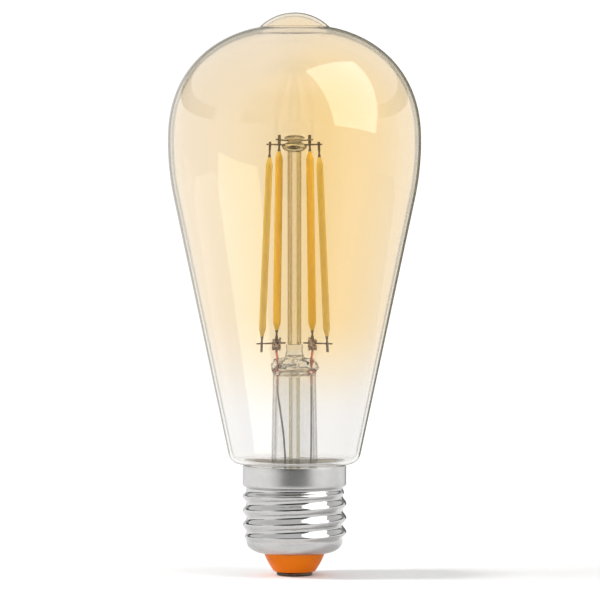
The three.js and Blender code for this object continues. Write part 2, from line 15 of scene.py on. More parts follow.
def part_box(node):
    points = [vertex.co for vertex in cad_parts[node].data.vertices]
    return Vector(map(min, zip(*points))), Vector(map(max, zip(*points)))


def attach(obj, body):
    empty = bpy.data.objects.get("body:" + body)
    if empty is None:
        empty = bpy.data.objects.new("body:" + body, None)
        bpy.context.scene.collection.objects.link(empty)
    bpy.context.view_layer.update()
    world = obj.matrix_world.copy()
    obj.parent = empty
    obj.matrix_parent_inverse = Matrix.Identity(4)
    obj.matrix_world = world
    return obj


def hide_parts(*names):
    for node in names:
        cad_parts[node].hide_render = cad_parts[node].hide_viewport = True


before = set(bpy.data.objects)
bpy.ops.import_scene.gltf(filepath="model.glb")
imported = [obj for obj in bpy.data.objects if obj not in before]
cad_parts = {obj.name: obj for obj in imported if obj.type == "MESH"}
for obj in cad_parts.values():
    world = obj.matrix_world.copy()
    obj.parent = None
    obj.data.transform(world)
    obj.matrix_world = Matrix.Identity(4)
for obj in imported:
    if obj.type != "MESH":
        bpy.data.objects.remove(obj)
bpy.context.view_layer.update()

bl_info = {
    "name": "Amber filament lamp",
    "version": (1, 0, 0),
    "blender": (4, 5, 0),
    "location": "3D View > Sidebar > Lamp",
    "description": "Makes the pieces, the finishes and the stage of an amber filament lamp",
    "category": "Add Mesh",
}

MM = 0.001


# ---------------------------------------------------------------- sizes that pieces share


def extent(node):
    """The lowest and highest corners of a node, in millimetres."""
    low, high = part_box(node)
    return low / MM, high / MM


def middle(node):
    """The middle of a node's box, in millimetres."""
    low, high = extent(node)
    return (low + high) / 2


SIDES = {"left": -1, "right": 1}
PAIRS = ("outer", "inner")
BULB_LOW, BULB_HIGH = extent("glass_envelope")
SHELL_LOW, SHELL_HIGH = extent("screw_shell")
INSULATOR_LOW, INSULATOR_HIGH = extent("insulator")
CONTACT_HIGH = extent("centre_contact")[1]
STEM_LOW, STEM_HIGH = extent("stem")
PILLAR_LOW, PILLAR_HIGH = extent("glass_pillar")
BUTTON_LOW, BUTTON_HIGH = extent("pillar_button")
EXHAUST_LOW, EXHAUST_HIGH = extent("exhaust_tube")
# Radius at which the shell's taper ends on the insulator
HEAD_R = 7.75
# Heights where the stem's flare becomes its tube, and where its pinch starts and ends
FLARE_TOP = STEM_LOW.z + 7.2
PINCH_LOW = 50.8
PINCH_HIGH = 55.0
# Distance of each seal wire from the lamp's axis, and of a cross wire from the tab that is welded to it
LEAD_X = 4.3
WELD_SIDE = 0.85
# Heights of the cross wires: the crossbars, and the links where they meet the filaments and the button
CROSSBAR_Z = middle("crossbar_left").z
HEAD_Z = {"outer": 109.1, "inner": 110.2}
LINK_Z = {"outer": 108.9, "inner": 109.9}
# How far each filament's tabs are turned where they leave the coating, in degrees
TAB_TWIST = {"outer_left": 50, "outer_right": -40, "inner_left": 0, "inner_right": 12}
# Radii of the wires
SEAL_R = 0.3
LEAD_R = 0.25
CROSS_R = 0.2


# ---------------------------------------------------------------- settings that a user would change


def length(name, default, description):
    """A size in millimetres."""
    description = f"{description}, in millimetres"
    return bpy.props.FloatProperty(name=name, description=description, default=default, min=0.01)


def colour(name, default, description):
    """A colour as linear light."""
    return bpy.props.FloatVectorProperty(
        name=name, description=description, default=default, subtype="COLOR"
    )


class LampGlass(bpy.types.PropertyGroup):
    """Settings of the glass bulb"""

    wall: length("Wall", 0.8, "Thickness of the bulb's wall")
    shoulder_radius: length("Shoulder", 3.2, "Radius of the bulb's lower corner")
    belly_radius: length("Belly", 70.0, "Radius between the cone and the widest section")
    dome_height: length("Dome", 29.6, "Height of the dome over the widest section")
    dome_power: bpy.props.FloatProperty(
        name="Dome power", description="Exponent of the dome's curve, 2 for an ellipse", default=2.24
    )
    knob_radius: length("Knob", 12.6, "Radius of the knob's rounded top")
    knob_height: length("Knob height", 2.85, "How far the knob stands over the dome")
    fade_low: length("Fade starts", 37.0, "Height at which the amber coat begins")
    fade_high: length("Fade ends", 68.0, "Height from which the amber coat is full")
    coat: colour("Coat", (0.957, 0.812, 0.55), "Colour of one wall with its amber coat, seen square on")
    coat_edge: colour("Coat's edge", (0.925, 0.85, 0.74), "Colour of the coated wall towards its outline")


class LampCap(bpy.types.PropertyGroup):
    """Settings of the screw cap"""

    pitch: length("Pitch", 3.629, "Pitch of the screw thread")
    depth: length("Depth", 0.95, "Depth of the screw thread")
    runout: length("Run-out", 1.8, "Length over which the thread fades at each end")
    thread_height: length("Thread height", 13.4, "Height of the threaded part")
    skirt_height: length("Skirt height", 5.9, "Height of the plain skirt")
    sheet: length("Sheet", 0.3, "Thickness of the rolled metal")


class LampFilament(bpy.types.PropertyGroup):
    """Settings of the four filaments"""

    width: length("Width", 2.1, "Width of a filament's coating")
    thickness: length("Thickness", 1.8, "Thickness of a filament's coating")
    tip: length("Tip", 2.0, "Length over which a coating's end tapers")


def thread_span():
    """Heights of the thread's lower and upper ends, in millimetres."""
    cap = bpy.context.scene.lamp_cap
    high = SHELL_HIGH.z - cap.skirt_height
    return high - cap.thread_height, high


# ---------------------------------------------------------------- meshes


def shares(count, first=0):
    """Equal shares of the way from 0 to 1, from the first one wanted."""
    return [i / count for i in range(first, count + 1)]


def quarter(count, first=0):
    """Angles in equal steps through a quarter of a turn."""
    return [math.pi / 2 * t for t in shares(count, first)]


def bearings(turns):
    """The cosine and sine of each direction round a full turn."""
    return [(math.cos(a), math.sin(a)) for a in (2 * math.pi * i / turns for i in range(turns))]


def add_object(name, data):
    """Puts a new object in the scene."""
    made = bpy.data.objects.new(name, data)
    bpy.context.scene.collection.objects.link(made)
    return made


def outward(mesh):
    """Turns a closed mesh's faces outwards."""
    work = bmesh.new()
    work.from_mesh(mesh)
    if work.calc_volume(signed=True) < 0:
        bmesh.ops.reverse_faces(work, faces=work.faces)
    work.to_mesh(mesh)
    work.free()


def soften(mesh, crease):
    """Shades a mesh smooth, except along edges sharper than a crease in degrees."""
    mesh.shade_smooth()
    mesh.set_sharp_from_angle(angle=math.radians(crease))


def skin(name, rings, crease=35):
    """A closed skin through rings of points. A ring of one point is a pole. Without poles, the last ring
    joins the first."""
    points, starts = [], []
    for ring in rings:
        starts.append(len(points))
        points.extend(Vector(p) * MM for p in ring)
    around = max(len(ring) for ring in rings)
    spans = list(zip(range(len(rings)), range(1, len(rings))))
    if len(rings[0]) > 1:
        spans.append((len(rings) - 1, 0))
    faces = []
    for low, high in spans:
        for i in range(around):
            j = (i + 1) % around
            corners = ((low, i), (low, j), (high, j), (high, i))
            corners = [starts[ring] + (k if len(rings[ring]) > 1 else 0) for ring, k in corners]
            corners = list(dict.fromkeys(corners))
            if len(corners) > 2:
                faces.append(corners)
    mesh = bpy.data.meshes.new(name)
    mesh.from_pydata(points, [], faces)
    mesh.validate()
    outward(mesh)
    soften(mesh, crease)
    return add_object(name, mesh)


def oval(half_x, half_y, z, turns, lump=0.0):
    """Points of an oval round the Z axis, uneven by a lump in millimetres. One of no width is a pole."""
    if half_x < 1e-4:
        return [(0, 0, z)]
    points = []
    for c, s in bearings(turns):
        x, y = half_x * c, half_y * s
        swell = 1 + lump * noise.noise(Vector((x * 0.55, y * 0.9, z * 0.8))) / max(half_y, 0.5)
        points.append((x * (0.8 + 0.2 * swell), y * swell, z))
    return points


def lathe(name, outline, turns=96, crease=35):
    """A turned piece from its outline of (radius, height) points."""
    return skin(name, [oval(r, r, z, turns) for r, z in outline], crease)


def arc(centre, radius, start, end, steps):
    """Outline points on an arc. Angles are in degrees from the outward direction."""
    angles = [math.radians(start + (end - start) * t) for t in shares(steps)]
    return [(centre[0] + radius * math.cos(a), centre[1] + radius * math.sin(a)) for a in angles]


def rounded(outline, radius, steps=5):
    """An outline with each corner of its closed loop rounded, except those on the axis."""
    made = []
    count = len(outline)
    for i, (r, z) in enumerate(outline):
        here = Vector((r, z))
        before, after = Vector(outline[i - 1]) - here, Vector(outline[(i + 1) % count]) - here
        reach = min(radius, before.length * 0.45, after.length * 0.45)
        if r < 1e-4 or reach < 1e-3:
            made.append((r, z))
            continue
        start, end = here + before.normalized() * reach, here + after.normalized() * reach
        for t in shares(steps):
            made.append(tuple(start * (1 - t) ** 2 + here * 2 * t * (1 - t) + end * t**2))
    return made


def inset(outline, wall):
    """An open outline moved inwards, square to the chord between each point's neighbours."""
    moved = []
    last = len(outline) - 1
    for i, (r, z) in enumerate(outline):
        (r0, z0), (r1, z1) = outline[max(i - 1, 0)], outline[min(i + 1, last)]
        chord = math.hypot(r1 - r0, z1 - z0)
        moved.append((max(r - wall * (z1 - z0) / chord, 0), z + wall * (r1 - r0) / chord))
    return moved


# ---------------------------------------------------------------- geometry node trees


def add_node(tree, kind, inputs=(), stops=(), **settings):
    """Adds a node with its settings and a ramp's stops. Inputs, by name or in order, take values, sockets
    or other nodes, which give their first output. A kind in short is a shader node."""
    made = tree.nodes.new(kind if "Node" in kind else f"ShaderNode{kind}")
    for name, value in settings.items():
        setattr(made, name, value)
    for key, value in inputs.items() if isinstance(inputs, dict) else enumerate(inputs):
        if isinstance(value, bpy.types.Node):
            value = value.outputs[0]
        if isinstance(value, bpy.types.NodeSocket):
            tree.links.new(value, made.inputs[key])
        else:
            made.inputs[key].default_value = value
    for i, (place, shade) in enumerate(stops):
        elements = made.color_ramp.elements
        element = elements[i] if i < len(elements) else elements.new(place)
        element.position = place
        element.color = shade
    return made


def new_tree(name, sizes):
    """A geometry node tree with a geometry in, a geometry out, a material and named sizes."""
    tree = bpy.data.node_groups.new(name, "GeometryNodeTree")
    tree.interface.new_socket("Geometry", in_out="INPUT", socket_type="NodeSocketGeometry")
    for size, default in sizes.items():
        socket = tree.interface.new_socket(size, in_out="INPUT", socket_type="NodeSocketFloat")
        socket.default_value = default
    tree.interface.new_socket("Finish", in_out="INPUT", socket_type="NodeSocketMaterial")
    tree.interface.new_socket("Geometry", in_out="OUTPUT", socket_type="NodeSocketGeometry")
    return tree, add_node(tree, "NodeGroupInput").outputs


def end_tree(tree, geometry, finish):
    """Ends a tree with its instances made real and its material set."""
    real = add_node(tree, "GeometryNodeRealizeInstances", {"Geometry": geometry})
    painted = add_node(tree, "GeometryNodeSetMaterial", {"Geometry": real, "Material": finish})
    add_node(tree, "NodeGroupOutput", {"Geometry": painted})


def grow(piece, tree, values):
    """Runs a tree on a piece and keeps the result as the piece's plain mesh."""
    modifier = piece.modifiers.new(tree.name, "NODES")
    modifier.node_group = tree
    for item in tree.interface.items_tree:
        if item.in_out == "INPUT" and item.name in values:
            modifier[item.identifier] = values[item.name]
    made = bpy.data.meshes.new_from_object(piece.evaluated_get(bpy.context.evaluated_depsgraph_get()))
    piece.modifiers.clear()
    made.name = piece.name
    piece.data = made
    outward(made)


def wire_tree():
    """Draws a round wire along a path of edges."""
    tree, given = new_tree("wire", {"Radius": 0.2 * MM, "Step": 0.25 * MM})
    path = add_node(tree, "GeometryNodeMeshToCurve", {"Mesh": given["Geometry"]})
    path = {"Curve": path, "Length": given["Step"]}
    path = add_node(tree, "GeometryNodeResampleCurve", path, mode="LENGTH")
    section = {"Resolution": 12, "Radius": given["Radius"]}
    section = add_node(tree, "GeometryNodeCurvePrimitiveCircle", section)
    body = {"Curve": path, "Profile Curve": section, "Fill Caps": True}
    body = add_node(tree, "GeometryNodeCurveToMesh", body)
    body = add_node(tree, "GeometryNodeSetShadeSmooth", {"Geometry": body})
    end_tree(tree, body, given["Finish"])
    return tree


def depth_inside(tree, z, low, high):
    """How far a height lies inside a span, from the span's nearer end."""
    above = add_node(tree, "Math", (z, low), operation="SUBTRACT")
    below = add_node(tree, "Math", (high, z), operation="SUBTRACT")
    return add_node(tree, "Math", (above, below), operation="MINIMUM")


def thread_tree():
    """Lifts a turned shell between two heights into a right-handed rolled thread."""
    sizes = {"Pitch": 3.6 * MM, "Depth": MM, "Low": 0.0, "High": 0.01, "Run-out": 2 * MM}
    tree, given = new_tree("rolled_thread", sizes)
    x, y, z = add_node(tree, "SeparateXYZ", [add_node(tree, "GeometryNodeInputPosition")]).outputs
    # The wave's place on the helix, in whole turns
    climb = add_node(tree, "Math", (z, given["Pitch"]), operation="DIVIDE")
    bearing = add_node(tree, "Math", (y, x), operation="ARCTAN2")
    bearing = add_node(tree, "Math", (bearing, 2 * math.pi), operation="DIVIDE")
    turn = add_node(tree, "Math", (climb, bearing), operation="SUBTRACT")
    turn = add_node(tree, "Math", (turn, 2 * math.pi), operation="MULTIPLY")
    wave = add_node(tree, "Math", [turn], operation="COSINE")
    wave = add_node(tree, "Math", (wave, 0.5, 0.5), operation="MULTIPLY_ADD")
    # It runs out towards both ends of the thread
    depth = depth_inside(tree, z, given["Low"], given["High"])
    fade = {"Value": depth, "From Min": 0.0, "From Max": given["Run-out"]}
    fade = add_node(tree, "MapRange", fade, interpolation_type="SMOOTHSTEP")
    lift = add_node(tree, "Math", (wave, fade), operation="MULTIPLY")
    lift = add_node(tree, "Math", (lift, given["Depth"]), operation="MULTIPLY")
    flat = add_node(tree, "CombineXYZ", (x, y, 0.0))
    out = add_node(tree, "VectorMath", [flat], operation="NORMALIZE")
    offset = add_node(tree, "VectorMath", {0: out, "Scale": lift}, operation="SCALE")
    moved = {"Geometry": given["Geometry"], "Offset": offset}
    end_tree(tree, add_node(tree, "GeometryNodeSetPosition", moved), given["Finish"])
    return tree


# ---------------------------------------------------------------- finishes

FINISHES = {}
# A noise texture's values nearly all lie between these two
NOISE_LOW = 0.3
NOISE_HIGH = 0.7
NOISE_SPAN = {"From Min": NOISE_LOW, "From Max": NOISE_HIGH}
# Height of the top of the bulb's pressed ledge over the cap
LEDGE_TOP = 30.0


def linear(hexadecimal):
    """An sRGB hex colour as linear light."""
    channels = [int(hexadecimal[i : i + 2], 16) / 255 for i in (1, 3, 5)]
    return (*[c / 12.92 if c <= 0.04045 else ((c + 0.055) / 1.055) ** 2.4 for c in channels], 1.0)


def new_finish(name):
    """An empty material with its tree and the Object coordinates that patterns are laid on."""
    made = bpy.data.materials.new(name)
    made.use_nodes = True
    made.node_tree.nodes.clear()
    return made, made.node_tree, add_node(made.node_tree, "TexCoord").outputs["Object"]


def solid_finish(name, dark, light, rough, grain, relief=0, metallic=0, stretch=(1, 1, 1), specular=0.5):
    """An opaque finish whose colour, gloss and relief vary together over a grain given in millimetres."""
    made, tree, place = new_finish(name)
    place = add_node(tree, "Mapping", {"Vector": place, "Scale": stretch})
    cloud = add_node(tree, "TexNoise", {"Vector": place, "Scale": 1 / (grain * MM), "Detail": 4.0})
    stops = [(NOISE_LOW, linear(dark)), (NOISE_HIGH, linear(light))]
    shade = add_node(tree, "ValToRGB", [cloud], stops)
    gloss = {"Value": cloud, **NOISE_SPAN, "To Min": rough[0], "To Max": rough[1]}
    gloss = add_node(tree, "MapRange", gloss)
    surface = {"Base Color": shade, "Roughness": gloss, "Metallic": metallic}
    surface["Specular IOR Level"] = specular
    if relief:
        bump = {"Height": cloud, "Distance": relief * MM, "Strength": 1.0}
        surface["Normal"] = add_node(tree, "Bump", bump)
    shader = add_node(tree, "BsdfPrincipled", surface)
    add_node(tree, "OutputMaterial", {"Surface": shader})
    return made


def amber_coat(tree, place, facing, bare):
    """The colour of a wall whose amber coat fades into bare glass towards the cap, and how much of the
    dark outline shows at each height."""
    glass = bpy.context.scene.lamp_glass
    x, y, z = add_node(tree, "SeparateXYZ", [place]).outputs
    # The spray's lower edge wanders by a few millimetres
    wander = 6 * MM
    cloud = add_node(tree, "TexNoise", {"Vector": place, "Scale": 1 / (26 * MM), "Detail": 1.0})
    height = add_node(tree, "Math", (cloud, wander, z), operation="MULTIPLY_ADD")
    low, high = (fade * MM + wander / 2 for fade in (glass.fade_low, glass.fade_high))
    span = {"Value": height, "From Min": low, "From Max": high}
    share = add_node(tree, "MapRange", span, interpolation_type="SMOOTHSTEP")
    # The coat gives its full colour where it is seen square on, and turns paler towards the outline
    skew = add_node(tree, "MapRange", {"Value": facing, "From Min": 0.04, "From Max": 0.5})
    # It is also painted paler down its -X side, the lamp's left: a painted reflection of the brighter light
    # on that side
    span = {"Value": x, "From Min": -11 * MM, "From Max": 10 * MM, "To Min": 0.6, "To Max": 0.0}
    thin = add_node(tree, "MapRange", span, interpolation_type="SMOOTHSTEP")
    skew = add_node(tree, "Math", (skew, thin), operation="ADD")
    stops = [(0.0, (*glass.coat, 1)), (1.0, (*glass.coat_edge, 1))]
    coated = add_node(tree, "ValToRGB", [skew], stops)
    tint = add_node(tree, "Mix", {0: share, 6: bare, 7: coated}, data_type="RGBA").outputs[2]
    # The ledge over the cap is pressed flat and bright, so the painted dark outline stops above it
    low, high = (LEDGE_TOP - 1.2) * MM, (LEDGE_TOP + 1.2) * MM
    above = add_node(tree, "MapRange", {"Value": z, "From Min": low, "From Max": high})
    return tint, above


def glass_finish(name, body, edge, rim_reach, absorb="#a8a698", density=40.0, coated=False):
    """Glass, darker towards its outline: partly for its longer path there, partly as painted shade for the
    dark surroundings that an edge of glass shows. Lamps shine straight through it, so that what it holds and
    its shadow stay clear."""
    made, tree, place = new_finish(name)
    tint = linear(body)
    facing = add_node(tree, "LayerWeight", {"Blend": 0.5}).outputs["Facing"]
    span = {"Value": facing, "From Min": rim_reach[0], "From Max": rim_reach[1]}
    rim = add_node(tree, "MapRange", span, interpolation_type="SMOOTHSTEP")
    if coated:
        tint, above = amber_coat(tree, place, facing, tint)
        rim = add_node(tree, "Math", (rim, above), operation="MULTIPLY")
    # Painted shade: the edge colour is mixed in towards the outline, standing partly for the dark
    # surroundings that an edge of glass shows
    tint = add_node(tree, "Mix", {0: rim, 6: tint, 7: linear(edge)}, data_type="RGBA").outputs[2]
    glass = {"Base Color": tint, "Roughness": 0.0, "IOR": 1.5, "Transmission Weight": 1.0}
    glass = add_node(tree, "BsdfPrincipled", glass)
    clear = add_node(tree, "BsdfTransparent", {"Color": (0.955, 0.955, 0.95, 1)})
    lamps = add_node(tree, "LightPath").outputs["Is Shadow Ray"]
    surface = add_node(tree, "MixShader", (lamps, glass, clear))
    thick = add_node(tree, "VolumeAbsorption", {"Color": linear(absorb), "Density": density})
    add_node(tree, "OutputMaterial", {"Surface": surface, "Volume": thick})
    return made


def nickel_finish():
    """Nickel-plated sheet: satin on the skirt and the taper, bright where the thread was rolled."""
    made, tree, place = new_finish("nickel_plated_sheet")
    z = add_node(tree, "SeparateXYZ", [place]).outputs["Z"]
    low, high = thread_span()
    depth = depth_inside(tree, z, low * MM, high * MM)
    share = add_node(tree, "MapRange", {"Value": depth, "From Min": -0.2 * MM, "From Max": 0.8 * MM})
    # Fine lines round the cap, where it turned against the roller
    lines = add_node(tree, "Mapping", {"Vector": place, "Scale": (1, 1, 14)})
    lines = add_node(tree, "TexNoise", {"Vector": lines, "Scale": 1 / (2.2 * MM), "Detail": 3.0})
    satin, bright = (
        add_node(tree, "MapRange", {"Value": lines, **NOISE_SPAN, "To Min": low, "To Max": high})
        for low, high in ((0.27, 0.36), (0.04, 0.09))
    )
    gloss = add_node(tree, "Mix", {0: share, 2: satin, 3: bright})
    cloud = add_node(tree, "TexNoise", {"Vector": place, "Scale": 1 / (3 * MM), "Detail": 5.0})
    stops = [(NOISE_LOW, linear("#bdbdbc")), (NOISE_HIGH, linear("#c6c5c4"))]
    shade = add_node(tree, "ValToRGB", [cloud], stops)
    bump = add_node(tree, "Bump", {"Height": lines, "Distance": 0.012 * MM, "Strength": 0.6})
    metal = {"Base Color": shade, "Metallic": 1.0, "Roughness": gloss, "Normal": bump}
    metal = add_node(tree, "BsdfPrincipled", metal)
    add_node(tree, "OutputMaterial", {"Surface": metal})
    return made


def phosphor_finish():
    """Yellow phosphor in clear silicone: rich over the row of chips, duller and greener behind them, where
    the colour also stands as painted shade.
    """
    made, tree, place = new_finish("phosphor_in_silicone")
    # The chips' side, which also sets the painted shade on each filament's far side
    chips = add_node(tree, "Attribute", attribute_name="chip_side_and_shade").outputs["Fac"]
    cloud = add_node(tree, "TexNoise", {"Vector": place, "Scale": 1 / (1.6 * MM), "Detail": 4.0})
    share = add_node(tree, "Math", (cloud, 0.25, chips), operation="MULTIPLY_ADD")
    stops = [(0.3, linear("#e0c462")), (0.6, linear("#ebc54e")), (0.85, linear("#fbcf44"))]
    gloss = {"Value": cloud, **NOISE_SPAN, "To Min": 0.3, "To Max": 0.5}
    bump = {"Height": cloud, "Distance": 0.04 * MM, "Strength": 0.5}
    silicone = {
        "Base Color": add_node(tree, "ValToRGB", [share], stops),
        "Roughness": add_node(tree, "MapRange", gloss),
        "Normal": add_node(tree, "Bump", bump),
        "Specular IOR Level": 0.3,
        "Subsurface Weight": 0.25,
        "Subsurface Radius": (1.0, 0.5, 0.15),
        "Subsurface Scale": 0.6 * MM,
    }
    silicone = add_node(tree, "BsdfPrincipled", silicone)
    add_node(tree, "OutputMaterial", {"Surface": silicone})
    return made


def make_finishes():
    """Makes a finish for each material slot, and three more for pieces that differ from their slot's."""
    FINISHES.update(
        # Blown glass, sprayed amber: golden at its middle, paler at its sides and painted paler down its
        # left side, clear at the neck, with painted shade along its outline
        amber_glass=glass_finish(
            "amber_coated_blown_glass", "#f7f6f6", "#574f34", (0.75, 0.82), "#b9b48c", 60.0, coated=True
        ),
        # Drawn tube, worked in a flame: clear, with a soft dark line of painted shade along each edge
        clear_glass=glass_finish("drawn_glass", "#f6f6f5", "#453c33", (0.4, 0.8)),
        # Thick-walled drawn tube: each wall is a straw-coloured line of painted shade
        thick_tube=glass_finish("thick_drawn_tube", "#fbfaf6", "#ada178", (0.08, 0.32)),
        # Glass pressed round the link wires: honey-coloured towards its outline, partly from its thickness
        # and partly as painted shade
        button_glass=glass_finish("pressed_button_glass", "#efe9d2", "#6b6040", (0.25, 0.75), density=60.0),
        nickel_plate=nickel_finish(),
        # Plated steel pressed into a plate: dull, with finger marks
        contact_metal=solid_finish(
            "plated_steel_contact", "#4b3f36", "#6f6458", (0.35, 0.5), 1.4, 0.01, 1
        ),
        # Moulded polyester: semi-gloss, almost even in colour
        orange_insulator=solid_finish(
            "moulded_orange_polyester", "#e57305", "#ea7908", (0.3, 0.4), 5, 0.01, specular=0.12
        ),
        # Baked capping cement: chalky and pitted
        capping_cement=solid_finish("baked_cement", "#e2d9c4", "#f4eedf", (0.85, 0.95), 0.6, 0.08),
        phosphor_silicone=phosphor_finish(),
        # Alumina strip: white and smooth
        filament_ceramic=solid_finish("alumina_strip", "#e2ded3", "#efebe2", (0.35, 0.45), 0.7, 0.005),
        # Drawn nickel wire and strip: grey-brown, with draw lines along it
        nickel_wire=solid_finish(
            "drawn_nickel", "#4f463b", "#857b6e", (0.25, 0.42), 0.8, 0.01, 1.0, (2, 2, 0.4)
        ),
        # The same strip, crushed and welded, with painted highlights on its creases and painted shade in its
        # folds
        crushed_strip=solid_finish(
            "crushed_nickel_strip_painted_light", "#3d302c", "#dccbc3", (0.2, 0.45), 0.7, 0.12, 1
        ),
        # Copper-clad seal wire: red oxide over copper
        copper_seal_wire=solid_finish(
            "copper_clad_wire", "#b9584f", "#eaa79c", (0.35, 0.5), 0.7, 0.01, 0.3
        ),
        # Glass-fibre laminate under solder resist: green, with a fine cloudiness
        board_laminate=solid_finish("green_laminate", "#16532f", "#1f6b3c", (0.3, 0.4), 1.2, 0.02),
        # Moulded epoxy of chips: matt with a fine grain
        black_moulding=solid_finish("moulded_epoxy", "#161617", "#232325", (0.5, 0.65), 0.3, 0.01),
        # Drawn aluminium can: bright, with faint lines from the draw
        aluminium_can=solid_finish(
            "drawn_aluminium", "#9fa2a5", "#b9bcbf", (0.25, 0.35), 0.6, 0.004, 1.0, (1, 1, 0.15)
        ),
        # Lacquered ceramic body of a resistor: glossy grey-green
        resistor_body=solid_finish("lacquered_ceramic", "#6d9690", "#86aea7", (0.35, 0.45), 0.8, 0.02),
        # Polyester film: slightly milky
        insulating_film=solid_finish("polyester_film", "#cfc8b4", "#e0dac8", (0.3, 0.4), 4, 0.02),
        # Enamelled copper winding: dark red-brown with a sheen
        enamelled_wire=solid_finish("enamelled_copper", "#6b2f14", "#93461f", (0.18, 0.3), 0.6, 0.01, 0.7),
    )


def settle(piece, slot, *nodes, finish=None):
    """Gives a finished piece its finish and its body, and hides the nodes that it stands for."""
    if not piece.data.materials:
        piece.data.materials.append(FINISHES[finish or slot])
    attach(piece, "root")
    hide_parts(*nodes)


# ---------------------------------------------------------------- glass bulb


def bulb_outline(glass):
    """Outer outline of the bulb, from the neck's lower end to the middle of the knob."""
    neck_r, ledge_gap, fillet, join_r = 11.6, 0.3, 1.6, 9.55
    # Angles at which the dome stops under the knob, and at which the knob starts
    dome_end, knob_start = 73.8, 45.5
    ledge_z = SHELL_HIGH.z + ledge_gap
    shoulder = (neck_r + fillet + 0.4, ledge_z + glass.shoulder_radius)
    belly_z = BULB_HIGH.z - glass.knob_height - glass.dome_height
    belly = (BULB_HIGH.x - glass.belly_radius, belly_z)
    dr, dz = belly[0] - shoulder[0], belly[1] - shoulder[1]
    tangent = math.acos((glass.shoulder_radius - glass.belly_radius) / math.hypot(dr, dz))
    lean = math.degrees(math.atan2(dz, dr) - tangent)
    power = 2 / glass.dome_power
    dome = []
    for t in shares(44, 1):
        c, s = math.cos(math.radians(dome_end * t)), math.sin(math.radians(dome_end * t))
        dome.append((BULB_HIGH.x * c**power, belly_z + glass.dome_height * s**power))
    knob = arc((0, BULB_HIGH.z - glass.knob_radius), glass.knob_radius, knob_start, 90, 18)
    cone_low = arc(shoulder, glass.shoulder_radius, -90, lean, 14)
    cone_high = arc(belly, glass.belly_radius, lean, 0, 16)
    (r0, z0), (r1, z1) = cone_low[-1], cone_high[0]
    cone = [(r0 + (r1 - r0) * t, z0 + (z1 - z0) * t) for t in shares(30, 1)[:-1]]
    foot = arc((neck_r + fillet, ledge_z - fillet), fillet, 180, 90, 8)
    neck = [(neck_r, BULB_LOW.z + (foot[0][1] - BULB_LOW.z) * t) for t in shares(8)[:-1]]
    join = (join_r, knob[0][1] - 0.2)
    return [*neck, *foot, *cone_low, *cone, *cone_high[:-1], *dome, join, *knob[:-1], (0, BULB_HIGH.z)]


def make_bulb():
    """The bulb: its outline turned, with a wall of even thickness."""
    glass = bpy.context.scene.lamp_glass
    outer = bulb_outline(glass)
    inner = inset(outer, glass.wall)
    inner[0] = (outer[0][0] - glass.wall, outer[0][1])
    inner[-1] = (0, outer[-1][1] - glass.wall)
    settle(lathe("bulb_glass", [*inner[::-1], *outer], turns=192), "amber_glass", "glass_envelope")


# ---------------------------------------------------------------- screw cap


def make_shell():
    """The screw shell: a sheet rolled over at its rim, with a skirt, the thread and a domed taper."""
    cap = bpy.context.scene.lamp_cap
    root_r, skirt_r, mouth_r, rows = 12.2, 13.1, 6.5, 150
    low_z, high_z = SHELL_LOW.z, SHELL_HIGH.z
    thread_low, thread_high = thread_span()
    taper = [
        (HEAD_R + (root_r - HEAD_R) * math.sin(a), thread_low - (thread_low - low_z) * math.cos(a))
        for a in quarter(14)
    ]
    thread = [(root_r, thread_low + cap.thread_height * t) for t in shares(rows, 1)]
    step = [
        (root_r + (skirt_r - root_r) * (0.5 - 0.5 * math.cos(math.pi * t)), thread_high + t)
        for t in shares(8, 1)
    ]
    wall = [(skirt_r, thread_high + 1 + (high_z - thread_high - 1.15) * t) for t in shares(8, 1)]
    outer = [*taper, *thread, *step, *wall]
    inner = inset(outer, cap.sheet)
    inner[0] = (HEAD_R - cap.sheet, low_z + cap.sheet)
    lip = arc((skirt_r - cap.sheet / 2, high_z - cap.sheet / 2), cap.sheet / 2, 0, 180, 8)
    mouth = [(mouth_r, low_z + cap.sheet), (mouth_r, low_z)]
    shell = lathe("threaded_shell", [*mouth, *outer, *lip[1:-1], *inner[::-1]], turns=192, crease=50)
    sizes = {
        "Pitch": cap.pitch * MM,
        "Depth": cap.depth * MM,
        "Low": thread_low * MM,
        "High": thread_high * MM,
        "Run-out": cap.runout * MM,
        "Finish": FINISHES["nickel_plate"],
    }
    grow(shell, thread_tree(), sizes)
    settle(shell, "nickel_plate", "screw_shell")


def make_insulator():
    """The insulator: a slightly swollen cone under the shell, with a flanged boss inside it."""
    bore, foot, waist, lip = 1.65, 5.2, 6.2, 0.6
    low, shell_z, high = INSULATOR_LOW.z, SHELL_LOW.z, INSULATOR_HIGH.z
    cone = [
        (foot + (HEAD_R - foot) * t + 0.22 * math.sin(math.pi * t), low + (shell_z - low) * t)
        for t in shares(12)
    ]
    boss = [(waist, shell_z), (waist, shell_z + lip), (waist + 0.9, shell_z + lip), (waist + lip, high)]
    outline = rounded([(bore, low), *cone, *boss, (bore, high)], 0.25)
    settle(lathe("cap_insulator", outline, turns=128), "orange_insulator", "insulator")


def make_contact():
    """The centre contact: a plate with a hollow pin, which is flared over the insulator's top."""
    plate, top, pin, bore = CONTACT_HIGH.x, INSULATOR_LOW.z, 1.5, 0.95
    head_z, flare_z = INSULATOR_HIGH.z, CONTACT_HIGH.z
    body = [(0, 0), (plate, 0), (plate, top), (pin, top), (pin, head_z)]
    flare = [(pin + 0.6, head_z), (pin + 0.42, flare_z), (bore, flare_z), (bore, top + 1), (0, top + 1)]
    settle(lathe("contact_plate", rounded([*body, *flare], 0.35)), "contact_metal", "centre_contact")


# ---------------------------------------------------------------- stem, pillar and button


